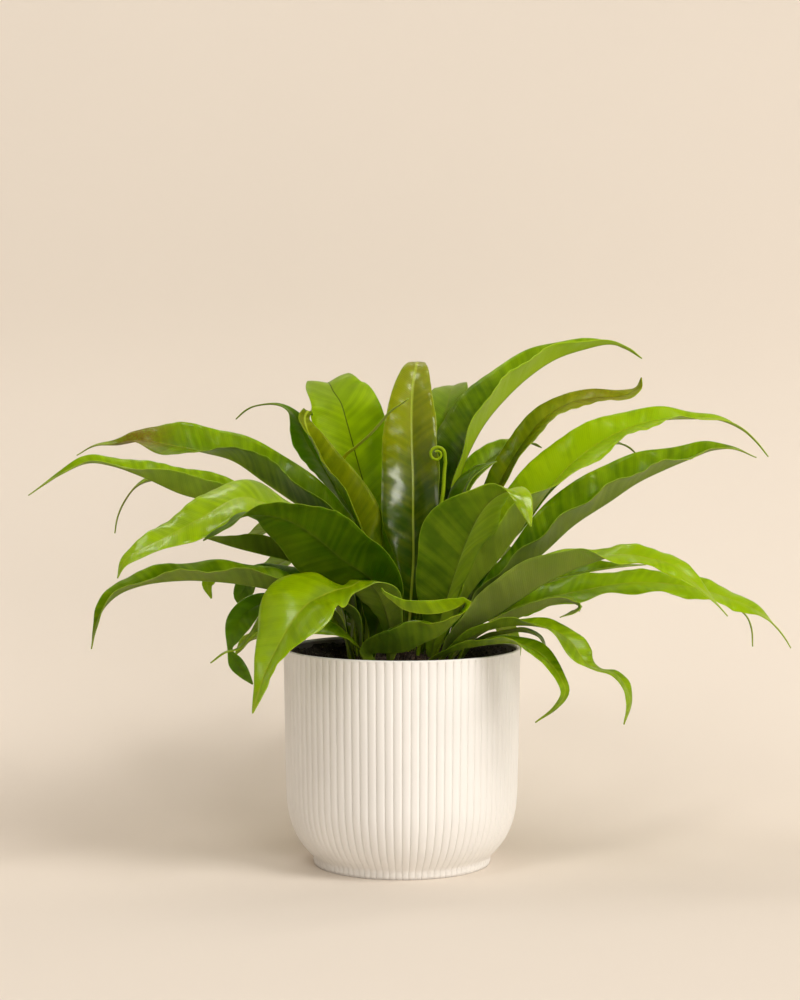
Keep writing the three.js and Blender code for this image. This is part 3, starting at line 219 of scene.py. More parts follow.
# Fronds seen from the front: name, foot of the stalk, heading, wave (amount, count, phase), finish, and
# stations of the blade. A station is x, y, z of the midrib, half width, and how far the left and the
# right half blade are raised, in degrees.
FRONDS = [
    ("frond_left_01", (-17, 25), 150, (1.2, 4, 0.5), "deep_leaf", [
        (-40, 40, 257, 7, 0, 20), (-54, 56, 288, 10, -5, 25), (-66, 67, 308, 12.5, -15, 30),
        (-78, 76, 327, 13, -22, 26), (-83, 81, 340, 10.5, -20, 22), (-90, 86, 350, 5.5, 0, 18),
        (-102, 91, 356, 3.2, 10, 20), (-119, 96, 355, 2.4, 0, 10), (-128, 99, 351, 1.6, 0, 0),
        (-136, 101, 344, 0.7, 0, 0)]),
    ("frond_left_02", (-24, 8), 172, (2.5, 6, 0), "leaf", [
        (-31, 9, 234, 11, 30, 45), (-52, 15, 257, 19, 38, 62), (-80, 27, 277, 25, 42, 78),
        (-109, 40, 296, 25, 44, 80), (-134, 50, 312, 22, 35, 75), (-158, 56, 318, 21, -5, 72),
        (-184, 61, 323, 20, -15, 75), (-209, 66, 327, 12, -10, 62), (-229, 70, 324, 6, 0, 45),
        (-248, 74, 323, 3, 0, 20), (-263, 77, 315, 0.7, 0, 0)]),
    ("frond_left_03", (-30, 0), 185, (2.2, 6, 1), "leaf", [
        (-40, 2, 220, 9, 30, 35), (-79, 0, 250, 16, 40, 55), (-118, -3, 271, 20, 48, 65),
        (-150, -6, 283, 22, 50, 70), (-171, -9, 289, 21, 48, 68), (-198, -13, 301, 15, 30, 50),
        (-223, -16, 310, 9, 10, 50), (-241, -18, 312, 7, 0, 50), (-262, -20, 303, 4, 0, 40),
        (-276, -21, 294, 2, 0, 20), (-286, -22, 287, 0.7, 0, 0)]),
    ("frond_left_04", (-33, 10), 176, (1, 5, 2), "leaf", [
        (-48, 14, 223, 6, 20, 30), (-88, 16, 250, 9, 30, 45), (-127, 19, 275, 10, 30, 50),
        (-158, 18, 289, 9, 20, 50), (-183, 16, 297, 7, 10, 50), (-197, 15, 297, 5, 10, 40),
        (-208, 13, 292, 3.4, 0, 20), (-217, 11, 280, 2.8, 0, 0), (-222, 10, 268, 2, 0, 0),
        (-224, 9, 256, 0.7, 0, 0)]),
    ("frond_left_05", (-26, -6), 207, (2, 6, 0.4), "leaf", [
        (-32, -13, 217, 11, 20, 30), (-55, -22, 241, 18, 15, 40), (-78, -33, 264, 20, 0, 45),
        (-101, -47, 281, 21, -20, 42), (-121, -61, 287, 20, -28, 36), (-150, -79, 272, 17, -38, 38),
        (-174, -90, 259, 12.5, -38, 40), (-192, -97, 250, 8, -30, 40), (-203, -101, 242, 5, -20, 30),
        (-208, -103, 230, 0.7, 0, 0)]),
    ("frond_left_06", (-22, -15), 222, (2.2, 5, 1.3), "deep_leaf", [
        (-18, -28, 215, 20, 38, -30), (-47, -52, 242, 29, 42, -50), (-64, -68, 258, 28, 40, -45),
        (-83, -81, 271, 23, 36, -36), (-101, -91, 276, 15, 30, -20), (-117, -96, 275, 9.5, 20, -5),
        (-130, -96, 267, 6, 20, -5), (-139, -94, 262, 3.5, 0, 0), (-146, -93, 257, 0.7, 0, 0)]),
    ("frond_left_07", (-28, -16), 197, (2.2, 6, 0.8), "leaf", [
        (-40, -30, 198, 9, 20, 25), (-70, -40, 210, 15, 30, 45), (-96, -48, 217, 18, 38, 55),
        (-119, -55, 222, 19, 36, 55), (-142, -61, 225, 18, 32, 52), (-164, -66, 226, 16, 28, 50),
        (-193, -73, 223, 12, 25, 55), (-211, -77, 216, 9, 20, 50), (-222, -80, 205, 6, 10, 50),
        (-227, -82, 191, 3.5, 0, 30), (-230, -84, 176, 0.7, 0, 0)]),
    ("frond_left_08", (-38, -8), 190, (1.2, 4, 0.2), "leaf", [
        (-56, -12, 209, 7, 20, 30), (-90, -16, 222, 8, 20, 35), (-120, -20, 229, 8, 20, 40),
        (-138, -22, 228, 7, -5, 50), (-149, -23, 220, 5, -55, 65), (-146, -24, 208, 0.7, -65, 70)]),
    ("frond_left_09", (-9, -34), 238, (1.4, 4, 0.4), "leaf", [
        (-8, -39, 178, 8, 20, 10), (-12, -47, 200, 13, 15, 5), (-20, -58, 218, 18, 5, -10),
        (-29, -67, 225, 12, 0, -10), (-39, -75, 221, 9, -10, 0), (-49, -80, 219, 20, -18, 22),
        (-59, -84, 215, 28, 0, 26), (-69, -90, 210, 33, 8, 22), (-79, -98, 199, 33, 10, 10),
        (-89, -105, 183, 22, 18, 6), (-99, -109, 162, 11, 30, 4), (-105, -111, 145, 5, 15, 0),
        (-109, -112, 132, 0.7, 0, 0)]),
    ("frond_left_10", (-34, -22), 203, (1.5, 4, 0.6), "deep_leaf", [
        (-55, -34, 199, 8, 10, 20), (-85, -42, 206, 10, 10, 30), (-105, -47, 206, 10.5, -10, 38),
        (-117, -49, 200, 10.5, -35, 55), (-124, -50, 191, 9.5, -60, 68), (-128, -50, 180, 5.5, -72, 76),
        (-130, -50, 172, 2, -75, 80), (-126, -49, 162, 5.6, -75, 80), (-120, -48, 154, 4.6, -75, 80),
        (-113, -47, 145, 0.7, -75, 80)]),
    ("frond_left_11", (-24, -27), 214, (1, 4, 0), "leaf", [
        (-51, -50, 191, 12, -50, 20), (-79, -62, 199, 14, -60, 20), (-100, -68, 198, 9, -40, 20),
        (-112, -70, 186, 3.2, 0, 10), (-122, -71, 175, 2.4, 0, 0), (-132, -71, 172, 2, 0, 0),
        (-143, -71, 164, 0.7, 0, 0)]),
    ("frond_left_12", (-37, 1), 184, (1.5, 4, 0.9), "deep_leaf", [
        (-44, -3, 211, 9, 40, 30), (-84, -6, 235, 15, 60, 40), (-109, -8, 242, 15, 66, 40),
        (-128, -10, 247, 12, 60, 40), (-144, -12, 252, 6, 40, 35), (-154, -13, 255, 0.7, 0, 0)]),
    ("frond_left_13", (-39, 17), 176, (1.5, 4, 0.9), "deep_leaf", [
        (-53, 20, 206, 9, 20, 30), (-88, 23, 220, 12, 10, 45), (-110, 24, 221, 12, -10, 52),
        (-122, 24, 214, 11, -40, 64), (-127, 24, 205, 7, -60, 70), (-126, 24, 197, 0.7, -65, 70)]),
    ("frond_middle_01", (-6, 24), 104, (1.4, 5, 0.5), "leaf", [
        (-14, 30, 234, 11, 15, 15), (-22, 37, 265, 18, 20, 15), (-29, 44, 288, 24, 18, 12),
        (-37, 52, 316, 29, 15, 10), (-44, 58, 341, 31, 15, 8), (-49, 63, 357, 29, 18, 10),
        (-55, 68, 366, 25, 12, 14), (-59, 76, 373, 19, 2, 24), (-64, 90, 370, 9, 0, 0),
        (-68, 102, 360, 4, 0, 0), (-71, 110, 345, 0.7, 0, 0)]),
    ("frond_middle_02", (-12, 6), 135, (1.2, 5, 0.2), "olive_leaf", [
        (-23, 9, 239, 10, 25, 25), (-34, 12, 262, 20, 50, 42), (-41, 15, 276, 21, 50, 44),
        (-50, 18, 291, 19, 50, 44), (-60, 21, 307, 16, 48, 44), (-68, 24, 323, 12, 42, 40),
        (-75, 28, 336, 8.5, 30, 30), (-77, 33, 346, 6, 10, 10), (-74, 38, 351, 3.5, 0, 0),
        (-71, 43, 348, 0.7, 0, 0)]),
    ("frond_middle_03", (4, 10), 90, (1, 7, 0.9), "olive_leaf", [
        (7, 9, 204, 7, 20, 25), (9, 12, 235, 15, 20, 30), (9, 16, 266, 25, 12, 38),
        (9, 20, 297, 25.5, 12, 38), (8, 25, 328, 24, 14, 36), (8, 31, 356, 19, 12, 26),
        (9, 36, 372, 14.5, 10, 16), (11, 42, 384, 10.5, 4, 4), (12, 48, 389, 7.5, -4, -6),
        (13, 55, 390, 6, -10, -12), (15, 62, 387, 5, -10, -10), (17, 67, 377, 3.4, 0, 0),
        (19, 70, 367, 0.7, 0, 0)]),
    ("frond_middle_04", (8, 31), 78, (1.2, 5, 0.1), "leaf", [
        (15, 46, 240, 8, 10, 10), (21, 60, 280, 15, 10, 8), (28, 71, 311, 20, 8, 0),
        (34, 80, 340, 21, 5, 0), (38, 87, 360, 17.5, 0, 6), (41, 94, 369, 14, -4, 12),
        (43, 104, 371, 9, -5, 10), (45, 114, 363, 5, 0, 0), (46, 120, 351, 0.7, 0, 0)]),
    ("frond_middle_05", (-16, 14), 110, (0, 1, 0), "olive_leaf", [
        (-20, 19, 234, 2.2, 0, 0), (-30, 23, 266, 2.6, 0, 0), (-38, 26, 289, 2.6, 0, 0),
        (-45, 28, 305, 2.2, 0, 0), (-46, 27, 314, 1.8, 0, 0), (-35, 24, 324, 1.5, 0, 0),
        (-25, 20, 333, 1.3, 0, 0), (-16, 17, 343, 1.2, 0, 0), (-9, 14, 351, 1.1, 0, 0),
        (1, 11, 358, 0.9, 0, 0), (5, 9, 361, 0.6, 0, 0)]),
    ("frond_front_01", (-18, -37), 0, (0.8, 4, 0), "leaf", [
        (-24, -46, 169, 9, 70, 50), (-11, -57, 171, 17, 75, 62), (1, -66, 173, 20, 70, 68),
        (13, -73, 179, 21, 45, 66), (27, -80, 186, 17, 15, 58), (38, -86, 196, 11, 0, 40),
        (46, -90, 206, 7, 0, 0), (47, -93, 212, 5, 0, -40), (40, -95, 208, 8, 0, -70),
        (26, -96, 204, 10, 0, -75), (13, -96, 204, 10, 0, -75), (1, -96, 207, 8, 0, -70),
        (-7, -95, 213, 5, 0, -50), (-13, -94, 218, 3.5, 0, -30), (-15, -93, 222, 0.7, 0, 0)]),
    ("frond_right_01", (15, 15), 45, (1.6, 7, 0.3), "leaf", [
        (31, 20, 234, 12, 20, 30), (36, 28, 265, 19, 22, 44), (44, 40, 295, 27, 24, 52),
        (54, 50, 320, 32, 26, 54), (66, 60, 341, 32, 28, 56), (83, 73, 361, 28, 34, 57),
        (104, 86, 380, 22, 40, 58), (126, 98, 394, 16, 44, 56), (150, 109, 402, 11, 44, 44),
        (172, 117, 406, 5.5, 20, 20), (187, 122, 402, 3, 0, 0), (199, 125, 394, 0.7, 0, 0)]),
    ("frond_right_02", (24, 13), 30, (1, 6, 0.7), "olive_leaf", [
        (47, 20, 234, 7, 20, 30), (66, 29, 269, 11, 25, 25), (80, 38, 298, 13, 35, 15),
        (95, 46, 323, 12.5, 45, 5), (114, 55, 345, 11.5, 50, -5), (135, 63, 357, 10.5, 50, -15),
        (155, 70, 361, 9.5, 50, -15), (175, 76, 362, 8.5, 45, -15), (185, 79, 365, 7, 30, -10),
        (192, 81, 370, 4.5, 0, 0), (194, 82, 378, 0.7, 0, 0)]),
    ("frond_right_03", (24, 0), 12, (2.2, 7, 0.2), "leaf", [
        (53, 4, 211, 12, 55, 58), (77, 11, 239, 24, 62, 58), (99, 20, 268, 27, 66, 42),
        (117, 28, 291, 26, 64, 10), (134, 34, 309, 24, 62, -12), (157, 41, 326, 20, 62, -15),
        (183, 48, 338, 16, 60, -10), (208, 54, 344, 12, 55, 0), (232, 60, 345, 8.5, 50, 0),
        (255, 65, 344, 6, 30, 0), (274, 69, 336, 4, 10, 0), (286, 72, 326, 2.4, 0, 0),
        (296, 74, 314, 0.7, 0, 0)]),
    ("frond_right_04", (36, 9), 22, (1, 4, 0.2), "leaf", [
        (71, 34, 240, 11, 20, -30), (102, 44, 276, 12, 30, -15), (134, 53, 304, 10, 40, 10),
        (159, 59, 320, 7, 40, 0), (173, 62, 325, 4, 30, 0), (182, 64, 322, 2.5, 0, 0),
        (189, 65, 316, 0.7, 0, 0)]),
    ("frond_right_05", (30, -5), 2, (2.2, 7, 1.1), "leaf", [
        (61, -2, 200, 13, 40, 45), (88, 0, 224, 18, 60, 45), (112, 2, 244, 24, 75, 35),
        (133, 4, 263, 27, 80, 28), (162, 6, 282, 27, 78, 28), (183, 8, 296, 23, 75, 25),
        (204, 10, 306, 18, 70, 20), (226, 12, 315, 12, 65, 10), (242, 13, 321, 8, 55, 0),
        (259, 14, 322, 4, 30, 0), (277, 15, 315, 0.7, 0, 0)]),
    ("frond_right_06", (20, -13), 280, (1.6, 4, 0.6), "leaf", [
        (29, -22, 193, 14, 30, 10), (34, -30, 210, 24, 48, 5), (41, -39, 233, 31, 50, 0),
        (49, -48, 256, 37, 38, 0), (58, -57, 275, 31, 42, 0), (68, -65, 287, 20, 25, 0),
        (79, -72, 293, 12, 10, 5), (87, -79, 291, 9, 0, 5), (91, -84, 282, 6, 0, 0),
        (95, -87, 267, 0.7, 0, 0)]),
    ("frond_right_07", (26, -22), 350, (2, 6, 0.3), "leaf", [
        (46, -38, 183, 12, 40, 40), (64, -45, 194, 19, 60, 60), (85, -52, 208, 23, 70, 75),
        (103, -58, 221, 22, 70, 75), (120, -63, 231, 19, 60, 68), (140, -68, 239, 15, 40, 45),
        (162, -74, 245, 12, 35, -20), (182, -79, 243, 11, 40, -30), (200, -83, 238, 11, 40, -30),
        (214, -86, 227, 8, 35, -25), (226, -88, 216, 5, 20, -10), (234, -89, 208, 2.6, 0, 0),
        (240, -90, 201, 0.7, 0, 0)]),
    ("frond_right_08", (34, -12), 356, (1.2, 4, 0.7), "leaf", [
        (68, -11, 201, 8, 40, 20), (99, -14, 215, 11, 50, 10), (125, -17, 224, 11, 50, 0),
        (152, -20, 230, 9, 45, 0), (173, -22, 233, 4, 20, 0), (187, -23, 234, 0.7, 0, 0)]),
    ("frond_right_09", (34, -20), 354, (2, 7, 0.4), "leaf", [
        (56, -28, 189, 9, 20, -5), (86, -34, 202, 14, 35, -22), (112, -39, 210, 16, 45, -25),
        (139, -43, 216, 15, 48, -22), (166, -46, 221, 14, 45, -25), (187, -48, 222, 13, 40, -30),
        (211, -51, 220, 13, 40, -30), (233, -53, 215, 12, 35, -30), (253, -55, 208, 10, 35, -30),
        (269, -57, 200, 7, 20, -20), (281, -58, 190, 4, 0, 0), (288, -59, 181, 2.2, 0, 0),
        (292, -60, 174, 0.7, 0, 0)]),
    ("frond_right_10", (41, -5), 2, (1, 5, 0.2), "leaf", [
        (76, 2, 203, 8, 20, 10), (123, 2, 215, 9, 30, 0), (169, 0, 218, 8, 30, 0),
        (216, -2, 213, 7, 25, 0), (250, -4, 203, 5, 10, 0), (266, -5, 194, 3, 0, 0),
        (271, -5, 183, 2.2, 0, 0), (272, -5, 169, 0.7, 0, 0)]),
    ("frond_right_11", (34, -27), 338, (1, 3, 0.2), "leaf", [
        (59, -46, 183, 6, 30, 30), (85, -56, 196, 9, 40, 45), (107, -64, 206, 9, 40, 40),
        (124, -70, 210, 8, 20, 20), (132, -74, 207, 5.5, -10, 20), (127, -78, 203, 4.5, -20, 30),
        (117, -80, 199, 0.7, 0, 0)]),
    ("frond_right_12", (27, -31), 326, (1.6, 6, 0.9), "leaf", [
        (47, -56, 180, 6, 20, 30), (73, -68, 191, 9, 30, 40), (97, -77, 193, 9, 30, 25),
        (114, -83, 189, 11, 25, 0), (126, -87, 180, 12, 25, -5), (134, -90, 168, 10.5, 20, -5),
        (144, -93, 162, 5.2, 10, 0), (156, -95, 159, 5.5, 10, 0), (164, -97, 150, 6.2, 10, 0),
        (167, -98, 138, 4.6, 0, 0), (163, -99, 122, 0.7, 0, 0)]),
    ("frond_right_13", (42, -19), 338, (0.8, 3, 0), "deep_leaf", [
        (59, -34, 177, 5, 20, 20), (78, -40, 183, 6, 20, 30), (92, -45, 185, 6, 20, 30),
        (104, -49, 181, 4.5, 10, 10), (109, -51, 173, 0.7, 0, 0)]),
    ("frond_right_14", (17, -36), 310, (1.4, 5, 0.3), "leaf", [
        (40, -59, 172, 6, 20, 30), (62, -70, 178, 8, 30, 30), (82, -79, 180, 9, 30, 25),
        (98, -84, 175, 9, 25, 10), (109, -88, 166, 7.5, 20, 0), (117, -91, 155, 5, 10, 0),
        (120, -92, 145, 4.5, 0, 0), (113, -94, 134, 3, 0, 0), (98, -96, 123, 0.7, 0, 0)]),
    ("frond_right_15", (18, 23), 56, (1.2, 4, 0.3), "leaf", [
        (30, 29, 234, 8, 20, 20), (42, 42, 271, 13, 25, 30), (56, 55, 297, 15, 30, 30),
        (73, 69, 313, 13, 35, 20), (89, 80, 322, 10, 35, 10), (103, 88, 325, 6, 20, 0),
        (114, 93, 321, 0.7, 0, 0)]),
    ("frond_right_16", (18, 4), 38, (1, 3, 0.3), "deep_leaf", [
        (32, 2, 226, 5, 15, 15), (37, 2, 247, 8, 15, 20), (43, 1, 275, 12, 10, 20),
        (51, 4, 296, 13, 5, 25), (62, 8, 307, 9, 5, 20), (74, 12, 312, 0.7, 0, 0)])]

# Fronds at the back: stalk x, y, heading, rise at the start and at the tip, length, half width, phase.
BACK = [
    (34, 26, 44, 30, -15, 225, 19, 0.3), (24, 33, 62, 44, -30, 250, 21, 1.1),
    (12, 38, 78, 30, -45, 235, 20, 2), (0, 33, 92, 50, -28, 240, 21, 2.9),
    (-11, 38, 105, 30, -42, 240, 20, 3.6), (-25, 32, 122, 46, -34, 245, 20, 4.4),
    (-32, 26, 142, 26, -44, 142, 16, 5.2), (1, 45, 84, 24, -62, 190, 17, 0.8),
    (-22, 40, 118, 24, -60, 180, 16, 1.9), (24, 40, 66, 24, -45, 160, 16, 3.1),
    (16, 30.5, 72, 64, -24, 235, 20, 1.5), (-8, 31, 99, 68, -26, 230, 20, 0.2),
    (-25, 23, 130, 62, -26, 230, 19, 2.5)]

# How yellow each frond is at its base and at its tip, from -1 deep green to 1 lime, the share of its
# length where it changes, and how much lighter its left half is, which is painted light on that half.
TONES = {
    "frond_front_01": (-0.6, 0.1, 0.5, 0), "frond_left_01": (0.5, 0.9, 0.5, 0),
    "frond_left_02": (-0.3, 0.3, 0.5, -0.5), "frond_left_05": (0.3, 0.7, 0.5, 0),
    "frond_left_06": (-0.6, -0.3, 0.5, 0), "frond_left_09": (-0.2, 0.9, 0.5, 0),
    "frond_middle_01": (0, 0.55, 0.5, 0), "frond_middle_02": (-0.8, 0, 0.5, 0),
    "frond_middle_03": (-1, 1, 0.6, 0.2), "frond_middle_05": (1, 1, 0.5, 0),
    "frond_right_01": (-1, 0.5, 0.62, 0), "frond_right_02": (-0.3, 0.6, 0.7, 0),
    "frond_right_03": (0.3, 1, 0.4, 0), "frond_right_06": (-0.5, 0.5, 0.75, 0.7),
    "frond_right_07": (0.2, 0.9, 0.5, 0), "frond_right_09": (0.2, 0.9, 0.5, 0)}

# Midrib from -1 a dark line to 1 broad and pale, gloss of the upper face, how pale and matt the tip is,
# and how greyish the lower face is; below nought the lower face is painted lighter and yellower instead,
# as painted light shining through the blade.
LOOKS = {
    "frond_left_01": (0.1, 0.3, 0, 0.3), "frond_left_02": (0.3, 0.55, 0, 0),
    "frond_left_03": (0.2, 0.5, 0, 0.4), "frond_left_05": (0.2, 0.65, 0, 0.3),
    "frond_left_06": (-0.4, 0.2, 0, 0), "frond_left_07": (0.2, 0.1, 0, 0.6),
    "frond_left_08": (0.2, 0.3, 0, 0.8), "frond_left_09": (0.5, 0.9, 0, 0.5),
    "frond_left_10": (0, 0.5, 0, 0.3), "frond_left_13": (0, 0.3, 0, 0.3),
    "frond_middle_01": (-1, 0.45, 0.45, 0), "frond_middle_02": (0.8, 0.15, 0, 0),
    "frond_middle_03": (1, 1, 0.25, 0), "frond_middle_04": (0.1, 0.1, 0.9, 0.5),
    "frond_middle_05": (0, 0, 0.9, 0.8), "frond_right_01": (0.2, 0.2, 0, -0.9),
    "frond_right_02": (-0.3, 0.3, 0, 0), "frond_right_03": (0.25, 0.3, 0, 0.3),
    "frond_right_05": (0.2, 0.3, 0, 0.6), "frond_right_06": (0.2, 0.7, 0, 0.1),
    "frond_right_07": (0.2, 0.4, 0, 1), "frond_right_11": (0.1, 0.2, 0, 1)}
PLAIN_LOOK = (0.25, 0.4, 0, 0.2)

# Brown marks: share of the length, share of the half width (left is positive), radius and strength.
MARKS = {
    "frond_left_02": [(0.36, -0.45, 3.2, 0.7), (0.4, -0.3, 2.4, 0.8), (0.85, -0.1, 24, 0.8)],
    "frond_left_04": [(0.9, 0.2, 14, 0.35)],
    "frond_right_02": [(0.86, 0.3, 22, 0.3)],
    "frond_middle_03": [(0.9, 0, 20, 0.12)]}


# Lines and sections

def through(stations, dims=3):
    """Centripetal cubic line through the stations: each span is a Hermite cubic whose end slopes come
    from the four nearest stations, spaced by the square root of their distance."""
    p = np.asarray(stations, float)
    a = np.vstack([2 * p[0] - p[1], p, 2 * p[-1] - p[-2]])
    gap = np.sqrt(np.linalg.norm(np.diff(a[:, :dims], axis=0), axis=1))[:, None]
    w, x, y, z = a[:-3], a[1:-2], a[2:-1], a[3:]
    g0, g1, g2 = gap[:-2], gap[1:-1], gap[2:]
    m1 = g1 * ((x - w) / g0 - (y - w) / (g0 + g1) + (y - x) / g1)
    m2 = g1 * ((y - x) / g1 - (z - x) / (g1 + g2) + (z - y) / g2)
    t = (np.arange(SPAN_STEPS) / SPAN_STEPS)[None, :, None]
    line = ((2 * t**3 - 3 * t**2 + 1) * x[:, None] + (t**3 - 2 * t**2 + t) * m1[:, None]
            + (3 * t**2 - 2 * t**3) * y[:, None] + (t**3 - t**2) * m2[:, None])
    return np.vstack([line.reshape(-1, p.shape[1]), p[-1:]])


def evenly(line, rows, dims=3):
    """The same line read at equal steps of its own length, and that length."""
    run = np.r_[0, np.cumsum(np.linalg.norm(np.diff(line[:, :dims], axis=0), axis=1))]
    at = np.linspace(0, run[-1], rows)
    return np.stack([np.interp(at, run, c) for c in line.T], axis=1), run[-1]


def unit(v):
    """Each vector divided by its length."""
    return v / np.linalg.norm(v, axis=-1, keepdims=True)


def forward_of(points):
    """Unit direction from the point before to the point after."""
    p = np.vstack([points[:1], points, points[-1:]])
    return unit(p[2:] - p[:-2])


def turned(radius, height, angle):
    """Points at a radius and a height, carried round Z to each angle."""
    return np.stack([radius * np.cos(angle), radius * np.sin(angle), height + 0 * angle], axis=-1)


def round_angles(count):
    """Angles of a full turn in equal steps."""
    return np.linspace(0, 2 * math.pi, count, endpoint=False)


def lumps(rows, columns, seed, times_averaged):
    """Seeded noise on a grid that closes across its columns, averaged with its neighbours so many times
    and brought back to a spread of one."""
    grid = np.random.default_rng(seed).normal(size=(rows, columns))
    for _ in range(times_averaged):
        above = np.vstack([grid[:1], grid[:-1]])
        below = np.vstack([grid[1:], grid[-1:]])
        grid = (grid * 2 + above + below + np.roll(grid, 1, 1) + np.roll(grid, -1, 1)) / 6
    return grid / grid.std()


def layered_lumps(rows, columns, seed, layers):
    """Lumps of several sizes added up, each with its height, times of averaging and own seed."""
    return sum(height * lumps(rows, columns, seed + i, averaged)
               for i, (height, averaged) in enumerate(layers))


# Meshes

def ring_faces(rows, columns, joined=False):
    """Quads between neighbouring rings of points, counted round each ring, outside to the right."""
    i = np.arange(rows if joined else rows - 1)[:, None]
    j = np.arange(columns)[None]
    k = (j + 1) % columns
    below, above = i * columns, ((i + 1) % rows) * columns
    return np.stack([below + j, below + k, above + k, above + j], axis=-1).reshape(-1, 4)


def fan_faces(rows, columns):
    """Triangles from the middle of the first and of the last ring, which follow the rings' own points."""
    j = np.arange(columns)
    k = (j + 1) % columns
    first, last, base = rows * columns, rows * columns + 1, (rows - 1) * columns
    return np.vstack([np.stack([j * 0 + first, k, j], axis=1),
                      np.stack([j * 0 + last, base + j, base + k], axis=1)])


def make_piece(name, rings, material, nodes=(), joined=False, extra=None):
    """Closed surfaces through rings of points in millimetres, one or many alike. Open ends get a fan to
    their middle, and rings that are joined close into a loop. extra holds vectors for each point, by name.
    No point leaves the box of the solids."""
    rows, columns = rings.shape[-3:-1]
    shapes = rings.reshape(-1, rows * columns, 3)
    quads = ring_faces(rows, columns, joined)
    fans = np.zeros((0, 3), int)
    if not joined:
        ends = [shapes[:, :columns].mean(1, keepdims=True), shapes[:, -columns:].mean(1, keepdims=True)]
        shapes = np.concatenate([shapes, *ends], axis=1)
        fans = fan_faces(rows, columns)
    step = (np.arange(len(shapes)) * shapes.shape[1])[:, None, None]
    quads, fans = (quads + step).reshape(-1, 4), (fans + step).reshape(-1, 3)
    points = np.clip(shapes.reshape(-1, 3) * MM, *CAD_BOX)
    mesh = bpy.data.meshes.new(name)
    mesh.vertices.add(len(points))
    mesh.vertices.foreach_set("co", points.ravel())
    corners = np.r_[quads.ravel(), fans.ravel()]
    starts = np.r_[np.arange(len(quads)) * 4, len(quads) * 4 + np.arange(len(fans)) * 3]
    mesh.loops.add(len(corners))
    mesh.loops.foreach_set("vertex_index", corners.astype(np.int32))
    mesh.polygons.add(len(starts))
    mesh.polygons.foreach_set("loop_start", starts.astype(np.int32))
    mesh.polygons.foreach_set("use_smooth", np.ones(len(starts), bool))
    for key, values in (extra or {}).items():
        flat = values.reshape(-1, 3)
        if not joined:
            flat = np.vstack([flat, values[0].mean(0), values[-1].mean(0)])
        layer = mesh.attributes.new(key, "FLOAT_VECTOR", "POINT")
        layer.data.foreach_set("vector", flat.ravel())
    mesh.update(calc_edges=True)
    mesh.validate()
    place_piece(name, mesh, material, nodes)


def place_piece(name, mesh, material, nodes):
    """Puts the mesh in the scene at the origin, riding on the part, in place of its solids."""
    piece = bpy.data.objects.new(name, mesh)
    bpy.context.scene.collection.objects.link(piece)
    mesh.materials.append(material)
    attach(piece, "root")
    if nodes:
        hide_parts(*nodes)


def make_frond(name, heading, wave, slot, stations, settings):
    """Builds one frond in place of its solid."""
    rings, extra = frond_rings(name, heading, wave, stations, settings)
    piece = name.replace("frond", "blade")
    make_piece(piece, rings, slot_material(slot, settings), [name], extra=extra)


# Material nodes

def feed(tree, node, inputs):
    """Gives each input of a node a value, or joins it to an output."""
    for key, value in inputs.items():
        if isinstance(value, bpy.types.NodeSocket):
            tree.links.new(value, node.inputs[key])
        else:
            node.inputs[key].default_value = value


def add(tree, kind, inputs=None, **settings):
    """Adds a node, sets its options and feeds its inputs."""
    node = tree.nodes.new(kind)
    for key, value in settings.items():
        setattr(node, key, value)
    feed(tree, node, inputs or {})
    return node


def calc(tree, operation, a, b=0.0, clamp=False):
    """A math node's result."""
    return add(tree, "ShaderNodeMath", {0: a, 1: b}, operation=operation, use_clamp=clamp).outputs[0]


def times(tree, a, b, clamp=False):
    """One value times another."""
    return calc(tree, "MULTIPLY", a, b, clamp)


def plus(tree, a, b, clamp=False):
    """Two values added up."""
    return calc(tree, "ADD", a, b, clamp)


def minus(tree, a, b):
    """One value less another."""
    return calc(tree, "SUBTRACT", a, b)


def ease(tree, value, low, high, start=0.0, end=1.0):
    """The value taken smoothly from start to end as it goes from low to high."""
    inputs = {0: value, 1: low, 2: high, 3: start, 4: end}
    return add(tree, "ShaderNodeMapRange", inputs, interpolation_type="SMOOTHSTEP").outputs[0]


def tint(tree, factor, a, b):
    """Colour a turned towards colour b by the factor."""
    a, b = (c if isinstance(c, bpy.types.NodeSocket) else (*c, 1)[:4] for c in (a, b))
    return add(tree, "ShaderNodeMix", {0: factor, 6: a, 7: b}, data_type="RGBA").outputs[2]


def noise(tree, vector, scale, detail, rough=0.5):
    """Soft noise from 0 to 1."""
    inputs = {"Vector": vector, "Scale": scale, "Detail": detail, "Roughness": rough}
    return add(tree, "ShaderNodeTexNoise", inputs).outputs[0]


def pair(tree, x, y):
    """A vector of two values, with nought for the third."""
    return add(tree, "ShaderNodeCombineXYZ", {0: x, 1: y}).outputs[0]


def split(tree, vector):
    """The three values of a vector."""
    return add(tree, "ShaderNodeSeparateXYZ", {0: vector}).outputs


def held(tree, name):
    """The three values that the mesh holds at each point under a name."""
    return split(tree, add(tree, "ShaderNodeAttribute", attribute_name=name).outputs["Vector"])


def object_place(tree):
    """Place on the object."""
    return add(tree, "ShaderNodeTexCoord").outputs["Object"]


def new_group(name, inputs, outputs):
    """An empty shader node group with named float, vector or colour sockets."""
    group = bpy.data.node_groups.new(name, "ShaderNodeTree")
    for label, kind, default in inputs:
        socket = group.interface.new_socket(label, in_out="INPUT", socket_type="NodeSocket" + kind)
        if default is not None:
            socket.default_value = default
    for label, kind in outputs:
        group.interface.new_socket(label, in_out="OUTPUT", socket_type="NodeSocket" + kind)
    return group, group.nodes.new("NodeGroupInput").outputs, group.nodes.new("NodeGroupOutput")


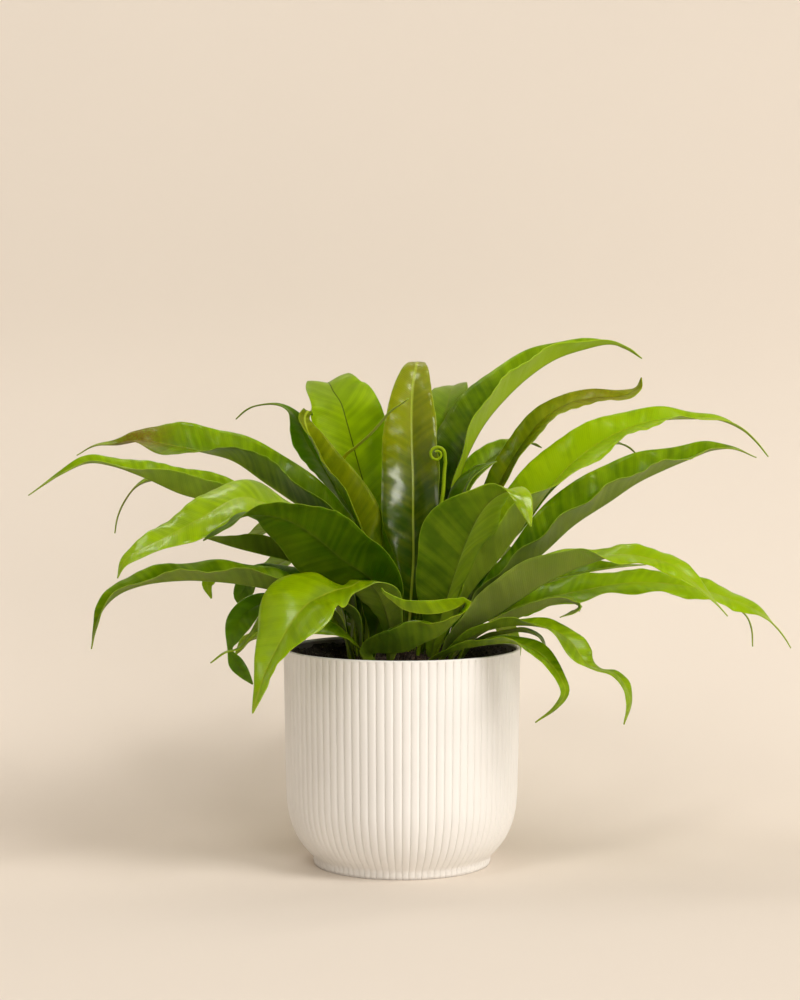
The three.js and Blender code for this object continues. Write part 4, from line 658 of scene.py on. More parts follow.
def leaf_lines_group():
    """Lines of a strap frond, from the place across and along the blade in millimetres: slanting side
    veins and the broader swells between them, the midrib and the margin. The two halves are set apart
    along the blade, so that their lines don't mirror."""
    name = "Leaf lines"
    if name in bpy.data.node_groups:
        return bpy.data.node_groups[name]
    tree, given, made = new_group(
        name,
        [("Across", "Float", 0.0), ("Along", "Float", 0.0), ("Half width", "Float", 20.0),
         ("Rib width", "Float", 0.6), ("Slant", "Float", 0.55), ("Vein spacing", "Float", 1.7)],
        [("Veins", "Float"), ("Swells", "Float"), ("Midrib", "Float"), ("Margin", "Float")])
    away = calc(tree, "ABSOLUTE", given["Across"])
    set_apart = times(tree, calc(tree, "SIGN", given["Across"]), 40)
    lean = plus(tree, minus(tree, given["Along"], times(tree, away, given["Slant"])), set_apart)
    wander = noise(tree, pair(tree, times(tree, lean, 0.09), times(tree, away, 0.05)), 1.0, 2.0)
    step = calc(tree, "DIVIDE", plus(tree, lean, times(tree, wander, 3)), given["Vein spacing"])
    wave = calc(tree, "SINE", times(tree, step, 2 * math.pi))
    broad = noise(tree, pair(tree, times(tree, lean, 0.16), times(tree, away, 0.012)), 1.0, 1.0)
    beside = calc(tree, "DIVIDE", away, given["Rib width"])
    inset = minus(tree, given["Half width"], away)
    feed(tree, made, {
        "Veins": ease(tree, wave, 0.1, 1.0),
        "Swells": ease(tree, broad, 0.35, 0.68),
        "Midrib": ease(tree, beside, 0.5, 1.5, 1, 0),
        "Margin": ease(tree, inset, 0.1, 0.5, 1, 0)})
    return tree


def grain_group():
    """Fine grain for pot, soil and crown, from Object coordinates: a height and a slow colour change."""
    name = "Fine grain"
    if name in bpy.data.node_groups:
        return bpy.data.node_groups[name]
    tree, given, made = new_group(
        name, [("Vector", "Vector", None), ("Grain scale", "Float", 900.0), ("Cloud scale", "Float", 14.0)],
        [("Height", "Float"), ("Clouds", "Float")])
    cloud = noise(tree, given["Vector"], given["Cloud scale"], 3.0)
    feed(tree, made, {
        "Height": noise(tree, given["Vector"], given["Grain scale"], 3.0, 0.6),
        "Clouds": ease(tree, cloud, 0.3, 0.7)})
    return tree


def grained(tree, spot, scales):
    """Height and clouds of the fine grain at a place, with the given scales."""
    return add(tree, "ShaderNodeGroup", {"Vector": spot, **scales}, node_tree=grain_group()).outputs


def new_material(name):
    """A material with its Principled shader, ready for links."""
    material = bpy.data.materials.new(name)
    material.use_nodes = True
    return material, material.node_tree, material.node_tree.nodes["Principled BSDF"]


def bump(tree, shader, height, distance, strength):
    """Feeds a height into the shader's normal."""
    node = add(tree, "ShaderNodeBump", {"Height": height, "Distance": distance, "Strength": strength})
    feed(tree, shader, {"Normal": node.outputs[0]})


def leaf_material(name, upper, lower, gloss):
    """Strap frond: glossy above, matt and greyer below, with pale midrib, slanting veins and brown marks.
    A thin pale margin is painted highlight for light shining through the edge, and lighter green on the
    swells is painted sheen. upper and lower each hold a deep and a light colour."""
    if name in bpy.data.materials:
        return bpy.data.materials[name]
    material, tree, shader = new_material(name)
    across, along, half = held(tree, "leaf_place")
    face, tone, mark = held(tree, "leaf_kind")
    rib, shine, dull = held(tree, "leaf_look")
    pale_rib, dark_rib = (times(tree, rib, sign, clamp=True) for sign in (1, -1))
    lines = add(tree, "ShaderNodeGroup", {
        "Across": across, "Along": along, "Half width": half,
        "Rib width": plus(tree, 0.5, times(tree, pale_rib, 0.6))}, node_tree=leaf_lines_group())
    veins, swells, midrib, margin = lines.outputs
    spot = object_place(tree)
    mottle = noise(tree, spot, 55.0, 3.0)
    share = plus(tree, times(tree, tone, 0.5), times(tree, mottle, 0.85))
    # Lighter green on the swells: painted sheen along the side veins.
    share = plus(tree, share, times(tree, swells, 0.22), clamp=True)
    top = tint(tree, share, *upper)
    top = tint(tree, times(tree, veins, 0.1), top, UPPER_VEIN)
    top = tint(tree, times(tree, midrib, pale_rib), top, PALE_RIB)
    top = tint(tree, times(tree, midrib, dark_rib), top, DARK_RIB)
    top = tint(tree, times(tree, dull, 0.75), top, PALE_TIP)
    # Lighter green on the swells of the lower face too: painted sheen.
    share = plus(tree, times(tree, swells, 0.2), times(tree, mottle, 0.7))
    share = plus(tree, share, times(tree, tone, 0.6), clamp=True)
    under = tint(tree, share, *lower)
    under = tint(tree, times(tree, dull, 0.7), under, GREY_BELOW)
    under = tint(tree, times(tree, veins, 0.14), under, LOWER_VEIN)
    under = tint(tree, times(tree, midrib, 0.45), under, LOWER_RIB)
    colour = tint(tree, face, under, top)
    # Pale margin: painted highlight standing in for light shining through the thin edge.
    colour = tint(tree, times(tree, margin, 0.3), colour, PALE_RIB)
    speckle = ease(tree, noise(tree, spot, 700.0, 2.0), 0.3, 0.62)
    brown = times(tree, mark, plus(tree, times(tree, speckle, 0.5), 0.6), clamp=True)
    patches = ease(tree, noise(tree, spot, 38.0, 2.0), 0.38, 0.6, 0.08, 1)
    coat = times(tree, times(tree, face, shine), patches)
    coat = times(tree, coat, ease(tree, veins, 0, 1, 1, 0.55))
    feed(tree, shader, {
        "Base Color": tint(tree, brown, colour, BROWN_MARK),
        "Roughness": ease(tree, face, 0, 1, 0.55, 0.4),
        "Coat Weight": times(tree, coat, gloss),
        "Coat Roughness": 0.19,
        "Coat IOR": 1.8,
        "Specular IOR Level": 0.3,
        "Specular Tint": (0.7, 0.85, 0.05, 1),
        "Subsurface Weight": 0.6,
        "Subsurface Radius": (0.6, 1.0, 0.12),
        "Subsurface Scale": 0.003})
    height = plus(tree, times(tree, veins, -0.5), times(tree, swells, 0.9))
    bump(tree, shader, height, 0.00012, 0.6)
    return material


def pot_material(settings):
    """Matt warm off-white plastic with very faint clouds and a satin skin, browned inside by peat that is
    partly soil residue and partly painted shade on the inner wall.
    """
    material, tree, shader = new_material("Pot off-white")
    spot = object_place(tree)
    height, clouds = grained(tree, spot, {"Grain scale": 1800.0})
    base = tuple(settings.pot_colour)
    colour = tint(tree, clouds, tuple(0.96 * c for c in base), base)
    x, y, z = split(tree, spot)
    middle = calc(tree, "SQRT", plus(tree, times(tree, x, x), times(tree, y, y)))
    # Inner wall turned towards peat brown: partly soil residue, partly painted shade.
    stain_and_shade = times(tree, ease(tree, middle, *STAIN_AND_SHADE_RADIUS, 1, 0), ease(tree, z, *STAIN_AND_SHADE_TOP, 1, 0))
    stain_and_shade = times(tree, stain_and_shade, ease(tree, z, *STAIN_AND_SHADE_BOTTOM))
    feed(tree, shader, {
        "Base Color": tint(tree, times(tree, stain_and_shade, 0.85), colour, PEAT_STAIN_AND_SHADE),
        "Roughness": ease(tree, clouds, 0, 1, 0.5, 0.58)})
    bump(tree, shader, height, 0.00003, 0.4)
    return material


def earth_material(name, dark, light, fleck, scale):
    """Loose earth or fibre: dark and light clouds, rough grain and a few pale flecks."""
    material, tree, shader = new_material(name)
    spot = object_place(tree)
    height, clouds = grained(tree, spot, {"Grain scale": scale, "Cloud scale": 60.0})
    colour = tint(tree, ease(tree, height, 0.35, 0.7), dark, light)
    colour = tint(tree, times(tree, clouds, 0.4), colour, dark)
    flecks = ease(tree, noise(tree, spot, 420.0, 1.0), 0.7, 0.76)
    feed(tree, shader, {
        "Base Color": tint(tree, flecks, colour, fleck),
        "Roughness": ease(tree, height, 0.2, 0.8, 0.95, 0.75)})
    bump(tree, shader, height, 0.0008, 1.0)
    return material


def slot_material(slot, settings):
    """The frond finish that goes with a slot of the record: its name, a deep and a light colour above
    and below, and its gloss."""
    leaf = (tuple(settings.leaf_deep), tuple(settings.leaf_light))
    finishes = {
        "leaf": ("Leaf green", leaf, LOWER_FACE, 0.9),
        # Darker copy of the leaf finish: partly a deeper green, partly painted shade for fronds that lie in
        # shade.
        "deep_leaf": ("Leaf deep green", ((0.012, 0.04, 0.0), (0.09, 0.175, 0.0)), DEEP_SHADED_LOWER_FACE, 0.8),
        "olive_leaf": ("Leaf olive", ((0.02, 0.055, 0.0), (0.22, 0.235, 0.0)), LOWER_FACE, 1.0),
        "young_leaf": ("Leaf young", ((0.14, 0.24, 0.002), (0.34, 0.44, 0.01)), LOWER_FACE, 0.2)}
    return leaf_material(*finishes[slot])


# Shapes

def pot_rings(settings):
    """Profile turned about Z. Outside, the radius loses the rib depth times one minus a half ellipse
    over each rib, so ribs are round and grooves are sharp; the depth goes to nothing at the lip."""
    outside, _ = evenly(through(POT_OUTSIDE, 2), POT_OUTSIDE_ROWS, 2)
    low = outside[outside[:, 1] < POT_CURVED_TO]
    level = np.linspace(POT_STRAIGHT_FROM, RIB_TOP, POT_STRAIGHT_ROWS)
    high = np.stack([np.interp(level, outside[:, 1], outside[:, 0]), level], axis=1)
    inside, _ = evenly(through(POT_INSIDE, 2), POT_INSIDE_ROWS, 2)
    profile = np.vstack([POT_UNDERSIDE, low, high, POT_LIP, inside])
    depth = np.zeros((len(profile), 1))
    lip = len(POT_UNDERSIDE) + len(low) + len(high)
    depth[len(POT_UNDERSIDE):lip] = 1
    depth[lip] = RIB_SHARE_AT_LIP
    across = np.array(RIB_PLACES)
    rib = np.tile(np.sqrt(1 - (2 * across - 1) ** 2) ** RIB_ROUND, RIBS)
    angle = ((np.arange(RIBS)[:, None] + across) * 2 * math.pi / RIBS).ravel()
    r, z = profile[:, :1], profile[:, 1:]
    return turned(r - settings.rib_depth / MM * (r / POT_RADIUS) * depth * (1 - rib), z, angle)


def soil_height(r):
    """Height of the level soil at a distance from the middle."""
    share = (r - SOIL_HOLE) / (SOIL_WALL - SOIL_HOLE)
    return SOIL_TOP + (SOIL_EDGE - SOIL_TOP) * share * (2 - share)


def soil_rings(settings):
    """Ring of soil turned about Z: down the wall, back under it, up the hole and out over the top, which
    is raised by seeded lumps of three sizes."""
    r = np.linspace(SOIL_HOLE, SOIL_WALL, SOIL_ROWS)
    profile = np.vstack([SOIL_SIDE, np.stack([r, soil_height(r)], axis=1)])
    rings = turned(profile[:, :1], profile[:, 1:], round_angles(SOIL_COLUMNS))
    raised = np.clip(layered_lumps(SOIL_ROWS, SOIL_COLUMNS, settings.seed, SOIL_LUMPS), *SOIL_LUMP_RANGE)
    rings[len(SOIL_SIDE):, :, 2] += raised * settings.soil_roughness / MM
    return rings


def crown_rings(settings):
    """Mound turned about Z and roughened with seeded lumps, which come in above its smooth foot."""
    section, _ = evenly(through(CROWN_SECTION, 2), CROWN_ROWS, 2)
    r, z = section[:, :1], section[:, 1:]
    bumps = layered_lumps(CROWN_ROWS, CROWN_COLUMNS, settings.seed + 5, CROWN_LUMPS)
    bumps = bumps * np.clip((z - CROWN_SMOOTH_TO) / CROWN_LUMPY_OVER, 0, 1)
    z = np.minimum(z + np.clip(bumps, *CROWN_LUMP_RANGE) * CROWN_LUMP_SIZE, CROWN_TOP)
    return turned(r, z, round_angles(CROWN_COLUMNS))


def crumb_rings(settings):
    """Loose crumbs on the soil: each a ball whose radius is changed by seeded noise, flattened, drawn out
    and slanted in the level plane, lying at a seeded place half sunk in the soil."""
    pick = np.random.default_rng(settings.seed + 11)
    count = settings.crumbs
    near, far = CRUMB_FIELD
    r = np.sqrt(pick.uniform(near**2, far**2, count))
    around = pick.uniform(0, 2 * math.pi, count)
    size = pick.uniform(0.5, 1.0, count) ** 2 * LARGEST_CRUMB
    level = np.radians(CRUMB_LEVELS)[:, None]
    ball = turned(np.cos(level), CRUMB_FLATNESS * np.sin(level), round_angles(CRUMB_SIDES))
    lump = ball * pick.uniform(*CRUMB_UNEVEN, (count, *ball.shape[:2], 1)) * size[:, None, None, None]
    lump[..., 0] *= pick.uniform(*CRUMB_DRAWN_OUT, count)[:, None, None]
    c, s = (f(pick.uniform(0, math.pi, count))[:, None, None] for f in (np.cos, np.sin))
    x, y = lump[..., 0] * c - lump[..., 1] * s, lump[..., 0] * s + lump[..., 1] * c
    place = turned(r, soil_height(r) + CRUMB_LIFT, around)
    return np.stack([x, y, lump[..., 2]], axis=-1) + place[:, None, None]


def scale_rings(settings):
    """Brown scales on the crown: each a thin pointed strip that starts on the mound and bends out as the
    square of its length, with a flat four sided section that narrows to its tip."""
    pick = np.random.default_rng(settings.seed + 12)
    count = settings.fibres
    near, far = SCALE_FIELD
    r = np.sqrt(pick.uniform(near**2, far**2, count))
    around = pick.uniform(0, 2 * math.pi, count)
    mound = np.array(CROWN_SECTION[CROWN_MOUND_FROM:])[::-1]
    foot = np.interp(r, mound[:, 0], mound[:, 1]) - SCALE_SUNK
    length = pick.uniform(*SCALE_LENGTH, count)[:, None]
    wide = pick.uniform(*SCALE_HALF_WIDTH, count)[:, None]
    lean = pick.uniform(*SCALE_LEAN, count)[:, None] * length
    t = np.array(SCALE_SHARES)[None]
    out = turned(1, 0, around + pick.normal(0, SCALE_STRAY, count))[:, None]
    side = np.cross(UP, out)
    spine = out * (lean * t**2)[..., None] + UP * (length * (t - 0.25 * t**2))[..., None]
    start = turned(r, foot, around)[:, None]
    width, thick = (wide * np.sqrt(1 - 0.97 * t))[..., None], SCALE_HALF_THICKNESS
    corners = [side * width, out * thick, -side * width, -out * thick]
    return np.stack([start + spine + corner for corner in corners], axis=2)


def blade_lift(out, half, k, length, wave, sign, bow):
    """How far a half blade is lifted at a distance out from the midrib, where s is that distance as a
    share of the half width: a bow of 4 s (1 - s), waves that grow as s to the 1.5, a ruffled margin that
    grows as s cubed and comes in patches, and slanting swells. Narrow stretches have less of it."""
    amount, waves, phase = wave
    s = out / half
    run = length * k
    grow = np.clip((half - RELIEF_FROM) / RELIEF_OVER, 0, 1)
    turns, shift = (waves, phase) if sign > 0 else (waves + RIGHT_WAVES, phase + RIGHT_SHIFT)
    lean = run - SWELL_SLANT * out
    ruffle = RUFFLE_HEIGHT * s**3 * np.sin(2 * math.pi * run / RUFFLE_LENGTH + 3 * phase + sign)
    ruffle = ruffle * (0.5 + 0.5 * np.sin(run / RUFFLE_PATCH + phase + sign))
    (broad, broad_length), (fine, fine_length) = BROAD_SWELL, FINE_SWELL
    swell = 4 * s * (1 - s) * (broad * np.sin(2 * math.pi * lean / broad_length + phase + sign)
                               + fine * np.sin(2 * math.pi * lean / fine_length + 2 * phase - sign))
    lift = amount * grow * np.sin(2 * math.pi * turns * k + shift) * s**1.5
    return lift + grow * (ruffle + swell + bow * half * 4 * s * (1 - s))


def blade_thickness(out, half, k):
    """Thickness above and below the skin: an oval stalk that passes into a thin blade, with a midrib that
    falls off as a bell curve and a margin that is rounded off to nothing. The stalk is full where the
    half width is under 2 and gone where it is over 5, and ends within the first third of the length."""
    stalk = np.clip((5 - half) / 3, 0, 1) * np.clip(1.6 - 5 * k, 0, 1)
    slim = np.minimum(1, half / MIDRIB_FULL_FROM)
    oval = np.sqrt(np.clip(1 - (out / half)**2, 0, 1))
    bevel = np.r_[np.ones(HALF_COLUMNS), MARGIN_ROUND, 0]
    above = BLADE_HALF_THICKNESS + MIDRIB_RISE * slim * np.exp(-(out / MIDRIB_WIDTH_ABOVE) ** 2)
    above = above * bevel * (1 - stalk) + stalk * STALK_SHARE_ABOVE * STALK_HALF_THICKNESS * oval
    below = (BLADE_HALF_THICKNESS + slim * (MIDRIB_HALF_THICKNESS - BLADE_HALF_THICKNESS)
             * np.exp(-(out / MIDRIB_WIDTH_BELOW) ** 2))
    below = below * bevel * (1 - stalk) + stalk * STALK_HALF_THICKNESS * oval
    return above[..., None], below[..., None]


def leaf_values(name, across, half, k, length):
    """What the finish reads at each point: the place on the blade, then face, tone and brown mark, then
    midrib, shine and how pale or greyish it is. Tone passes smoothly from base to tip over about a third of
    the length, a pale tip takes up the last quarter, and marks fall off as a bell curve. Tone also holds
    painted light: a lighter left half on some fronds, and a lighter, yellower lower face on others."""
    flat = 0 * across
    upper = np.r_[0.5, np.ones(2 * HALF_COLUMNS + 1), 0.5, np.zeros(2 * HALF_COLUMNS + 1)]
    pick = np.random.default_rng(sum(map(ord, name))).uniform(-0.35, 0.35)
    base, tip, change_at, left_half_painted_light = TONES.get(name, (pick - 0.25, pick + 0.2, 0.5, 0))
    change = np.clip((k - change_at) / 0.35 + 0.5, 0, 1)
    # The left half's extra tone is painted light on that half.
    tone = base + (tip - base) * change * change * (3 - 2 * change) + left_half_painted_light * np.clip(across / 2, 0, 1)
    rib, gloss, pale, grey_and_glow = LOOKS.get(name, PLAIN_LOOK)
    # Painted light: below nought the lower face is made lighter and yellower, for light shining through the
    # blade.
    tone = tone + 2 * max(-grey_and_glow, 0) * (1 - upper)
    mark = flat
    for at, beside, radius, strength in MARKS.get(name, []):
        gone = np.hypot((k - at) * length, across - beside * half) / radius
        mark = np.maximum(mark, strength * np.exp(-gone**2))
    dull = pale * np.clip(k * 5 - 3.6, 0, 1) * upper + max(grey_and_glow, 0) * (1 - upper)
    shine = gloss**2 * np.clip(1 - 2 * pale * change, 0, 1)
    return {"leaf_place": np.stack([across, length * k + flat, half + flat], axis=-1),
            "leaf_kind": np.stack([upper + flat, tone, mark], axis=-1),
            "leaf_look": np.stack([rib + flat, shine + flat, dull], axis=-1)}


def frond_rings(name, heading, wave, stations, settings):
    """Strap frond. Each row stands across a line through the stations: side B is the level direction
    square to the heading without its share along the line, up N is forward x side. A half blade leaves
    the midrib at its raise and is lifted, and thickness is laid off both ways from that skin. Near the
    midrib it is laid off along the middle between the two halves' own up directions."""
    line = through(stations)
    length = evenly(line, 2)[1]
    count = int(np.clip(length / settings.row_length * MM, FEWEST_ROWS, MOST_ROWS))
    rows, length = evenly(line, count)
    half = np.maximum(LEAST_HALF_WIDTH, rows[:, 3])[:, None]
    k = np.linspace(0, 1, count)[:, None]
    forward = forward_of(rows[:, :3])
    a = math.radians(heading)
    level = np.array([-math.sin(a), math.cos(a), 0])
    side = unit(level - forward * (forward @ level)[:, None])
    up = np.cross(forward, side)
    share = (np.arange(HALF_COLUMNS + 1) / HALF_COLUMNS) ** 1.5
    out = np.hstack([(half - MARGIN_BEVEL) * share, half])
    ups, skins = [], []
    for sign, column in ((1, 4), (-1, 5)):
        raised = np.radians(rows[:, column])[:, None]
        blade_out = side * sign * np.cos(raised) + up * np.sin(raised)
        blade_up = -side * sign * np.sin(raised) + up * np.cos(raised)
        lift = blade_lift(out, half, k, length, wave, sign, settings.bow)
        flat = rows[:, None, :3] + blade_out[:, None] * out[..., None]
        ups.append(blade_up[:, None])
        skins.append(flat + blade_up[:, None] * lift[..., None])
    bisector = (ups[0] + ups[1]) / 2
    spread = np.maximum(LEAST_SPREAD, np.linalg.norm(bisector, axis=-1, keepdims=True))
    near = np.exp(-(out / MIDRIB_TURN_WIDTH) ** 2)[..., None]
    above, below = blade_thickness(out, half, k)
    tops, bottoms = [], []
    for skin, blade_up in zip(skins, ups):
        direction = near * (bisector / spread**2) + (1 - near) * blade_up
        tops.append(skin + direction * above)
        bottoms.append(skin - direction * below)
    last = HALF_COLUMNS + 1
    rings = np.hstack([tops[0][:, :0:-1], tops[1], bottoms[1][:, last - 1:0:-1], bottoms[0][:, :last]])
    across = np.hstack([out[:, :0:-1], -out, -out[:, last - 1:0:-1], out[:, :last]])
    return rings, leaf_values(name, across, half, k, length)


def stalk_stations(x, y, digits):
    """The two stations of a stalk in its hole."""
    neck = [round(STALK_LEAN * v, digits) for v in (x, y)]
    return [(x, y, STALK_FOOT, *STALK_SECTION), (*neck, STALK_NECK, *STALK_SECTION)]


def back_stations(x, y, heading, rise, fall, length, half, phase):
    """Stations of a back frond: it climbs at the first angle and bends to the last, swaying a little. Its
    half width follows a sine bulge from the neck to the tip."""
    t = np.arange(1, BACK_STEPS + 1) / BACK_STEPS
    bend = np.clip((t - BACK_STRAIGHT) / (1 - BACK_STRAIGHT), 0, 1)
    climb = np.radians(rise + (fall - rise) * bend**BACK_BEND)
    turn = math.radians(heading) + BACK_SWAY * np.sin(2.4 * t + phase)
    steps = length / BACK_STEPS * turned(np.cos(climb), np.sin(climb), turn)
    places = np.array([x * BACK_START_LEAN, y * BACK_START_LEAN, BACK_START]) + np.cumsum(steps, axis=0)
    width = BACK_NECK + (half - BACK_NECK) * np.clip(np.sin(math.pi * t**0.8), 0, 1) ** 0.85
    width[-1] = BACK_TIP
    fold = BACK_FOLD + (BACK_FOLD_AT_TIP - BACK_FOLD) * t
    left, right = fold + BACK_RUFFLE * np.sin(5 * t + phase), fold - BACK_RUFFLE * np.sin(4 * t + phase)
    return [*stalk_stations(x, y, 3), *np.column_stack([places, width, left, right])]


def crozier_rings():
    """Stem with a slightly oval section along its stations, then a coil whose radius falls evenly with
    its angle, as one tube. Its finish reads it as a narrow strap."""
    t = np.arange(COIL_ROWS + 1) / COIL_ROWS
    a = 2 * math.pi * COIL_TURNS * t
    r = COIL_RADIUS + (COIL_MIDDLE - COIL_RADIUS) * t
    x, y, z = COIL_CENTRE
    thick = COIL_THICK + (COIL_TIP - COIL_THICK) * t
    coil = np.stack([x + r * np.cos(a), y - COIL_STEP * t, z + r * np.sin(a), thick], axis=1)
    stem, _ = evenly(through(CROZIER_STEM), CROZIER_ROWS)
    path = np.vstack([stem[:-1], coil[1:]])
    forward = forward_of(path[:, :3])
    side = unit(np.array([0, 1, 0]) - forward * forward[:, 1:2])
    up = np.cross(forward, side)
    turn = round_angles(CROZIER_SIDES)
    radius = path[:, 3:4] * (1 + CROZIER_OVAL * np.cos(2 * turn))
    rings = (path[:, None, :3] + side[:, None] * (radius * np.cos(turn))[..., None]
             + up[:, None] * (radius * np.sin(turn))[..., None])
    k = np.linspace(0, 1, len(path))[:, None] + 0 * turn
    across, along, half = CROZIER_STRAP
    place = np.stack([across * np.cos(turn) + 0 * k, along * k, half + 0 * k], axis=-1)
    kind = np.stack([CROZIER_FACE + 0 * k, k + CROZIER_TONE, 0 * k], axis=-1)
    return rings, {"leaf_place": place, "leaf_kind": kind, "leaf_look": 0 * kind}


# Settings

class FernPotSettings(bpy.types.PropertyGroup):
    """Sizes and colour of the pot."""
    rib_depth: FloatProperty(
        name="Rib depth", description="How deep the grooves between the ribs are", default=0.0012,
        min=0.0, max=0.0012, unit="LENGTH", precision=4)
    pot_colour: FloatVectorProperty(
        name="Pot colour", description="Colour of the pot", default=(0.82, 0.795, 0.757), size=3,
        min=0.0, max=1.0, subtype="COLOR")


class FernSoilSettings(bpy.types.PropertyGroup):
    """Roughness and seed of soil and crown."""
    soil_roughness: FloatProperty(
        name="Soil roughness", description="Height of the lumps on the soil", default=0.001,
        min=0.0, max=0.003, unit="LENGTH", precision=4)
    seed: IntProperty(name="Seed", description="Seed of the lumps and crumbs", default=7, min=0)
    crumbs: IntProperty(name="Crumbs", description="Number of loose crumbs on the soil", default=420, min=0)
    fibres: IntProperty(name="Fibres", description="Number of brown scales on the crown", default=420, min=0)


class FernFrondSettings(bpy.types.PropertyGroup):
    """Fineness and colours of the fronds."""
    row_length: FloatProperty(
        name="Row length", description="Distance between two rows of a frond's mesh", default=0.0022,
        min=0.0015, max=0.01, unit="LENGTH", precision=4)
    bow: FloatProperty(
        name="Bow", description="How far a half blade is bowed up, as a share of its width",
        default=0.05, min=0.0, max=0.1, subtype="FACTOR")
    leaf_deep: FloatVectorProperty(
        name="Deep green", description="Darkest green of the upper face", default=(0.026, 0.068, 0.0),
        size=3, min=0.0, max=1.0, subtype="COLOR")
    leaf_light: FloatVectorProperty(
        name="Light green", description="Lightest green of the upper face", default=(0.26, 0.375, 0.0),
        size=3, min=0.0, max=1.0, subtype="COLOR")


class FernStageSettings(bpy.types.PropertyGroup):
    """Floor, light and camera."""
    sweep_radius: FloatProperty(
        name="Sweep radius", description="Radius of the bend from floor to wall", default=0.45, min=0.1,
        unit="LENGTH")
    floor_colour: FloatVectorProperty(
        name="Floor colour", description="Colour of floor and wall", default=(0.765, 0.69, 0.605), size=3,
        min=0.0, max=1.0, subtype="COLOR")
    backdrop: FloatVectorProperty(
        name="Backdrop colour", description="Colour behind the plant", default=(0.831, 0.716, 0.597),
        size=3, min=0.0, max=1.0, subtype="COLOR")
    key_power: FloatProperty(
        name="Key light", description="Power of the main light", default=348.0, min=0.0, unit="POWER")
    top_power: FloatProperty(
        name="Top light", description="Power of the light overhead", default=8.0, min=0.0, unit="POWER")
    front_power: FloatProperty(
        name="Front light", description="Power of the small light by the camera", default=12.0, min=0.0,
        unit="POWER")
    left_power: FloatProperty(
        name="Left light", description="Power of the weak light from the left", default=17.0, min=0.0,
        unit="POWER")
    high_power: FloatProperty(
        name="High light", description="Power of the small light high in front on the left",
        default=5.0, min=0.0, unit="POWER")
    right_power: FloatProperty(
        name="Right light", description="Power of the low light from the right", default=24.0, min=0.0,
        unit="POWER")
    fill: FloatProperty(
        name="Fill light", description="Strength of the light from all round", default=0.225, min=0.0)
    lens: FloatProperty(
        name="Lens", description="Focal length of the camera", default=80.64, min=1.0, unit="CAMERA")


# Stage

def stage_sheet(name, y, z, material):
    """Sheet of the stage: the given line of places y and heights z, the same all across x."""
    rows, columns = len(y), SHEET_COLUMNS
    x = np.linspace(-SHEET_HALF_WIDTH, SHEET_HALF_WIDTH, columns)[None]
    points = np.stack(np.broadcast_arrays(x, y[:, None], z[:, None]), axis=-1).reshape(-1, 3)
    i, j = np.arange(rows - 1)[:, None] * columns, np.arange(columns - 1)[None]
    faces = np.stack([i + j, i + j + 1, i + j + columns + 1, i + j + columns], axis=-1).reshape(-1, 4)
    mesh = bpy.data.meshes.new(name)
    mesh.from_pydata(points.tolist(), [], faces.tolist())
    mesh.polygons.foreach_set("use_smooth", np.ones(len(faces), bool))
    sheet = bpy.data.objects.new(name, mesh)
    bpy.context.scene.collection.objects.link(sheet)
    mesh.materials.append(material)


def sweep_pieces(settings):
    """Level floor that bends up into a wall: along s the height stays nought to the bend, follows a
    quarter circle of the sweep radius and then climbs straight. A level sheet carries the floor on
    under the wall, for a view from behind."""
    bend = settings.sweep_radius
    s = np.linspace(*SWEEP_REACH, SWEEP_ROWS)
    turn = np.clip(s - SWEEP_START, 0, bend * math.pi / 2) / bend
    y = np.minimum(s, SWEEP_START) + bend * np.sin(turn)
    z = bend * (1 - np.cos(turn)) + np.maximum(0, s - SWEEP_START - bend * math.pi / 2)
    paper = sweep_material(settings)
    stage_sheet("studio_sweep", y, z - FLOOR_DROP, paper)
    behind = np.linspace(SWEEP_START, FLOOR_END, FLOOR_ROWS)
    stage_sheet("studio_floor", behind, 0 * behind - FLOOR_DROP, paper)


def sweep_material(settings):
    """Pale paper that fades out at its edges and isn't seen from its back."""
    material, tree, shader = new_material("Pale paper")
    spot = object_place(tree)
    x, y, z = split(tree, spot)
    away = calc(tree, "MAXIMUM", calc(tree, "ABSOLUTE", x), times(tree, calc(tree, "ABSOLUTE", y), 1.1))
    away = calc(tree, "MAXIMUM", away, z)
    front = minus(tree, 1.0, add(tree, "ShaderNodeNewGeometry").outputs["Backfacing"])
    base = tuple(settings.floor_colour)
    feed(tree, shader, {
        "Base Color": tint(tree, noise(tree, spot, 4.0, 3.0), tuple(0.98 * c for c in base), base),
        "Roughness": 0.9,
        "Specular IOR Level": 0.1,
        "Alpha": times(tree, ease(tree, away, FADE_FROM, FADE_TO, 1, 0), front)})
    return material


def world_light(scene, settings):
    """Even light from all round, with the backdrop colour where the camera sees it."""
    world = bpy.data.worlds.new("Studio")
    world.use_nodes = True
    tree = world.node_tree
    fill = tree.nodes["Background"]
    feed(tree, fill, {"Color": (*FILL_COLOUR, 1), "Strength": settings.fill})
    seen = add(tree, "ShaderNodeBackground", {"Color": (*settings.backdrop, 1), "Strength": 1.0})
    ray = add(tree, "ShaderNodeLightPath").outputs["Is Camera Ray"]
    mix = add(tree, "ShaderNodeMixShader", {0: ray, 1: fill.outputs[0], 2: seen.outputs[0]})
    feed(tree, tree.nodes["World Output"], {"Surface": mix.outputs[0]})
    scene.world = world


def area_light(name, place, size, power, colour):
    """A light of the given width and height, facing the plant."""
    data = bpy.data.lights.new(name, "AREA")
    data.shape = "RECTANGLE"
    data.size, data.size_y = size
    data.energy, data.color = power, colour
    light = bpy.data.objects.new(name, data)
    light.location = place
    x, y, z = (t - p for t, p in zip(LIGHT_TARGET, place))
    light.rotation_euler = (math.atan2(math.hypot(x, y), -z), 0, math.atan2(-x, y))
    bpy.context.scene.collection.objects.link(light)


